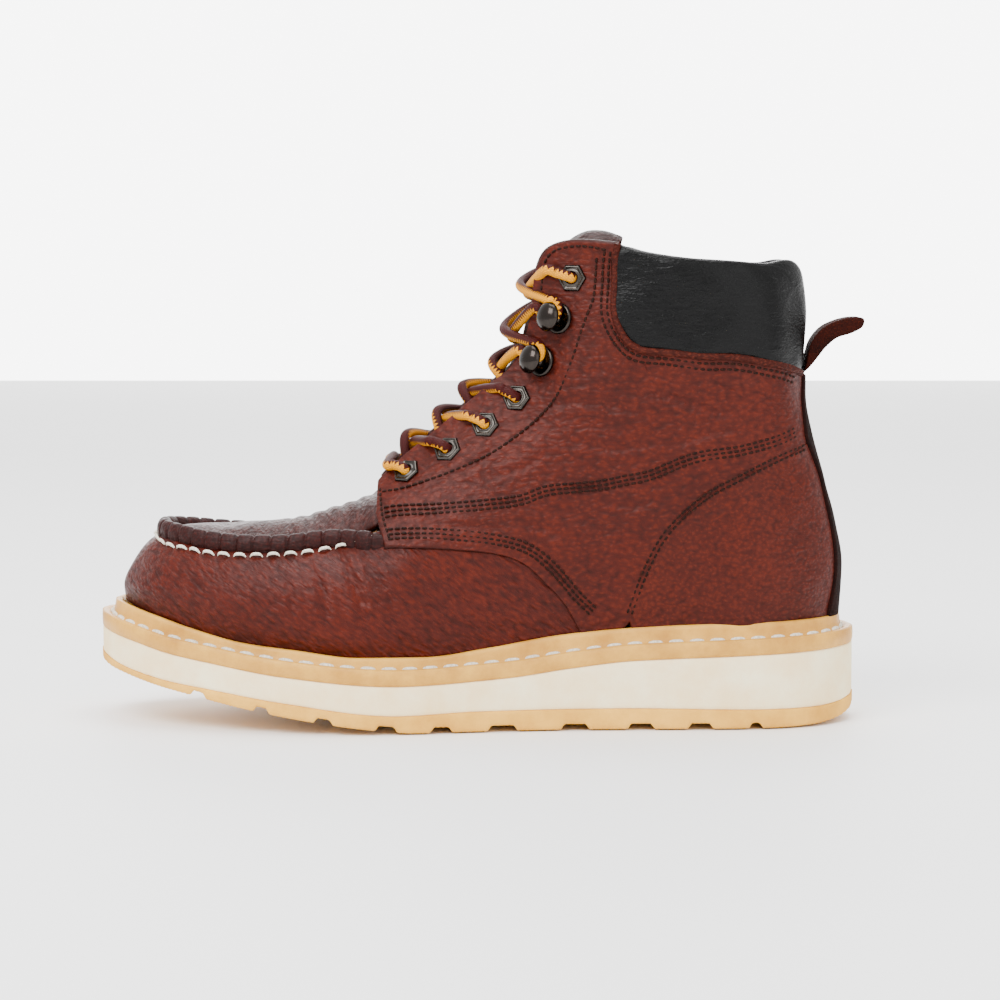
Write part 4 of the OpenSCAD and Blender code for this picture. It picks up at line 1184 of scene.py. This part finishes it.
def build_inside(m):
    vamp_low = both_ways([[0, 0.01], [0.15, 0.01], [0.3, 0.01], [0.44, 0.01]], 0)
    vamp_high = both_ways([[0, 0.97], [0.15, 0.97], [0.3, 0.97], [0.44, 0.9]], 0)
    lining = panel("Vamp_lining", vamp_low, vamp_high, 1, 2 * MM, LINING_LIFT, 1 * MM, rounding=0.4 * MM)
    finish_piece(lining, m["lining"], ["vamp_lining"])
    length, width = np.linspace(0.04, 0.86, 50), np.linspace(-1, 1, 26)
    plug = plug_sheet("Plug_lining", length, width, 5.2 * MM, 1 * MM, 0.84)
    finish_piece(plug, m["lining"], ["plug_lining"])
    high = np.concatenate([[[1, 0.9]], find(LINING_TOP)])
    low = np.column_stack([np.linspace(1, 0.46, len(high)), np.full(len(high), 0.01)])
    shaft = panel("Shaft_lining", both_ways(low, 1), both_ways(high, 1), 1, 1.6 * MM, LINING_LIFT, 1 * MM,
                  lambda t, s, p: unevenness(p, 0.3 * MM), rounding=0.4 * MM)
    fix_normals(shaft)
    finish_piece(shaft, m["lining"], ["shaft_lining"])
    footbed = sole_layer("Footbed", raised(FEATHER, -0.6), raised(FEATHER, 3.4), 16.1 * MM, 1.2 * MM, 30, 7)
    finish_piece(footbed, m["footbed"], ["footbed"])
    for name, look in (("steel_toe_cap", "steel"), ("shank", "steel"), ("heel_stiffener", "board"),
                       ("insole_board", "board"), ("filler", "cork")):
        for obj in bpy.data.objects:
            if obj.type == "MESH" and obj.name == name:
                set_material(obj, m[look])


# ---- eyelets, hooks and lace ----
def skin_frames(places, side):
    """The point, outward normal and upward direction on the skin at each [x, z]."""
    q = find(places)
    p = skin(side * q[:, 0], q[:, 1])
    n = skin_normal(side * q[:, 0], q[:, 1])
    up = unit(np.array([0, 0, 1]) - n * n[:, 2:])
    return zip(p, n, up)


def turned(profile, sides, place, normal, up):
    """Vertices and faces of a turned part. A row of its profile is [radius, height, how hexagonal], or only
    the first two where it is round."""
    angle = turns(sides)
    right = np.cross(up, normal)
    hexagon = np.cos(np.pi / 6) / np.cos((angle % (np.pi / 3)) - np.pi / 6)
    rings = []
    for radius, height, *amount in profile:
        r = radius * MM * mix(1, hexagon, amount[0] if amount else 0)
        rings.append(place + np.outer(r * np.cos(angle), right) + np.outer(r * np.sin(angle), up)
                     + normal * height * MM)
    return np.concatenate(rings), grid_faces(len(profile), sides, wrap_cols=True)


def join_turned(name, parts, material, node):
    vertices, faces, start = [], [], 0
    for v, f in parts:
        vertices.append(v)
        faces += [[k + start for k in face] for face in f]
        start += len(v)
    obj = new_object(name, np.concatenate(vertices), faces)
    fix_normals(obj)
    finish_piece(obj, material, [node])


# Profiles of the turned parts, in millimetres
EYELET = [
    [2.4, -2.2, 0], [2.4, 0.9, 0], [2.6, 1.2, 0], [2.95, 1.2, 0], [3.15, 0.95, 0], [4.4, 0.9, 0.9],
    [4.7, 1.15, 1], [5.0, 1.25, 1], [5.5, 0.75, 1], [5.85, 0.15, 1], [5.3, 0.0, 1], [2.4, 0.0, 0],
    [2.4, -2.2, 0],
]
HOOK_BASE = [[0.1, 1.4], [3.2, 1.4], [3.9, 1.7], [4.8, 1.5], [5.3, 1.7], [5.9, 1.4], [6.1, 0.9], [6.0, 0.1],
             [0.1, 0]]
HOOK_NECK = [[0.1, 0.5], [2.6, 0.8], [1.9, 2.0], [1.7, 3.2], [2.0, 4.4], [2.9, 5.2], [0.1, 5.4]]
HOOK_DOME = [[0.05, 4.8], [4.2, 4.9], [5.3, 5.2], [5.8, 5.9], [5.7, 6.7], [5.1, 7.7], [4.1, 8.5], [2.6, 9.2],
             [1.2, 9.5], [0.05, 9.6]]


HOOK_LEAN = np.array([-1, 0, 0.25])
# Each part of a hook: its profile, its number of sides and how far it leans towards the toe
HOOK_PARTS = [(HOOK_BASE, 48, 0.3), (HOOK_NECK, 32, 0.62), (HOOK_DOME, 48, 0.62)]


def build_hardware(m):
    for word, side in SIDES.items():
        rims = [turned(EYELET, 72, p + n * LAP, n, up) for p, n, up in skin_frames(EYELETS, side)]
        join_turned(f"Eyelets_{word}", rims, m["gunmetal"], f"eyelets_{word}")
        parts = []
        for p, n, up in skin_frames(HOOKS, side):
            base = p + n * LAP
            for profile, sides, amount in HOOK_PARTS:
                lean = unit(n + amount * HOOK_LEAN)
                parts.append(turned(profile, sides, base, lean, unit(up - lean * (up @ lean))))
        join_turned(f"Hooks_{word}", parts, m["dome"], f"hooks_{word}")


# Where the two halves of the lace cross in front of the tongue, from the lowest bar up: [x, z]
CROSSINGS = [[-32.5, 103], [-25, 108], [-12.5, 117.5], [-2.5, 127.5], [9.4, 137], [14, 150.5], [20.4, 167.6]]
# The lace at an eyelet: over the edge of the quarter, down the hole and back underneath, and at a hook: round
# its neck. Each point is [towards the throat, up along it, out of the leather].
AT_EYELET = [[8.5, -3.4, 3.2], [4.6, -1.6, 3.9], [1.7, -0.4, 3.6], [0.2, 0, 1.9], [0, 0, -2.5],
             [3, 0.4, -6.8], [9, 1.5, -8]]
AT_LAST = [[9, -6.5, 3.2], [5, -3, 3.9], [1.7, -0.8, 3.6], [0.2, 0, 1.9], [0, 0, -2.5], [-2.6, -0.4, -6.2]]
AT_HOOK = [[10, -6.4, 3.2], [6, -3.8, 3.9], [2.6, -2.5, 3.9], [1.2, 0, 3.9], [2.6, 2.5, 3.9], [6, 3, 3.9],
           [9, 0.6, 3.6]]
LACE_END = [
    [42, 17.8, 172], [48, 19.4, 170.6], [55, 21, 166], [60, 22, 158], [62, 22, 146], [62, 22, 128],
    [63, 22, 110], [64, 22, 92], [64, 22, 74],
]
LACE_WIDTH = 0.004
CROSSING_LIFT = np.array([-2.9, 0, 3.0])
THROAT_WARD = np.array([-0.66, 0, 0.75])
AGLET_LENGTH = 21.8 * MM


def lace_side(first):
    """Half of the lace, starting towards one side: from the middle of the lowest bar to its last eyelet."""
    stops = [(place, AT_EYELET) for place in EYELETS[:4]] + [(place, AT_HOOK) for place in HOOKS]
    stops.append((EYELETS[4], AT_LAST))
    points = []
    side = first
    for k, (place, route) in enumerate(stops):
        x, z = CROSSINGS[k]
        crossing = np.array([x, 0, z]) * MM + [0, swing(x * MM), 0]
        points.append(crossing + (CROSSING_LIFT * MM if k and side > 0 else 0))
        p, n, _ = next(iter(skin_frames([place], side)))
        ahead = unit(THROAT_WARD - n * (n @ THROAT_WARD))
        along = np.cross(n, ahead) * side
        points += [p + MM * (a * ahead + b * along + c * n) for a, b, c in route]
        side = -side
    points.append(np.array(LACE_END[0]) * [1, first, 1] * MM)
    return curve(points, np.linspace(0, 1, 900))


def build_lace(m):
    a, b = lace_side(1), lace_side(-1)
    path = even(np.concatenate([a[:0:-1], b]), 0.6 * MM)
    lace = tube("Lace", path, LACE_WIDTH / 2, 20)
    finish_piece(lace, m["lace"], ["lace"])


def build_lace_ends(m):
    for word, side in SIDES.items():
        line = np.array(LACE_END) * [1, side, 1] * MM
        path = even(curve(line, np.linspace(0, 1, 400)), 0.8 * MM)
        end = tube(f"Lace_end_{word}", path, LACE_WIDTH / 2, 20, (0, 0.3, 1))
        finish_piece(end, m["lace"], [f"lace_end_{word}"])
        tip = path[-1]
        down = np.linspace(0, 1, 16)
        tag_path = tip - np.outer(0.1 * MM + down * AGLET_LENGTH, [0, 0, 1])
        radius = LACE_WIDTH / 2 * (1 - 0.1 * (down > 0.95))
        tag = tube(f"Aglet_{word}", tag_path, radius, 24)
        finish_piece(tag, m["aglet"], [f"aglet_{word}"])


# ---- put everything together ----
def build_floor(m_floor):
    bpy.ops.mesh.primitive_plane_add(size=6, location=(0, 0, -0.0005))
    floor = bpy.context.object
    floor.name = "floor"
    floor.data.materials.append(m_floor)


def build_backdrop():
    """A lit white wall far behind the boot."""
    bpy.ops.mesh.primitive_plane_add(size=3.6, location=(0, 4.5, 1.2), rotation=(math.radians(90), 0, 0))
    wall = bpy.context.object
    wall.name = "backdrop"
    material = bpy.data.materials.new("backdrop")
    material.use_nodes = True
    shader = material.node_tree.nodes["Principled BSDF"]
    shader.inputs["Base Color"].default_value = (0.9, 0.9, 0.9, 1)
    shader.inputs["Emission Color"].default_value = (1, 1, 1, 1)
    shader.inputs["Emission Strength"].default_value = BACKDROP_STRENGTH
    wall.data.materials.append(material)


def floor_material():
    g = Graph("floor_white")
    g.set(Base_Color=g.blend(g.noise(3, 2), (0.86, 0.86, 0.86, 1), (0.9, 0.9, 0.9, 1)), Roughness=0.6)
    return g.material


def main():
    add_camera()
    materials = make_materials()
    build_lace_ends(materials)
    build_floor(floor_material())
    build_backdrop()
    add_world()
    add_area_light("key", (-0.6, -0.9, 1.2), 0.9, 34)
    add_area_light("fill", (0.9, -1.1, 0.7), 1.2, 9)
    add_area_light("top", (0.1, 0.3, 1.5), 1.0, 24)
    build_sole(materials)
    build_panels(materials)
    build_stitching(materials)
    build_moc(materials)
    build_collar(materials)
    build_tongue(materials)
    build_pull_tab(materials)
    build_inside(materials)
    build_hardware(materials)
    build_lace(materials)


main()
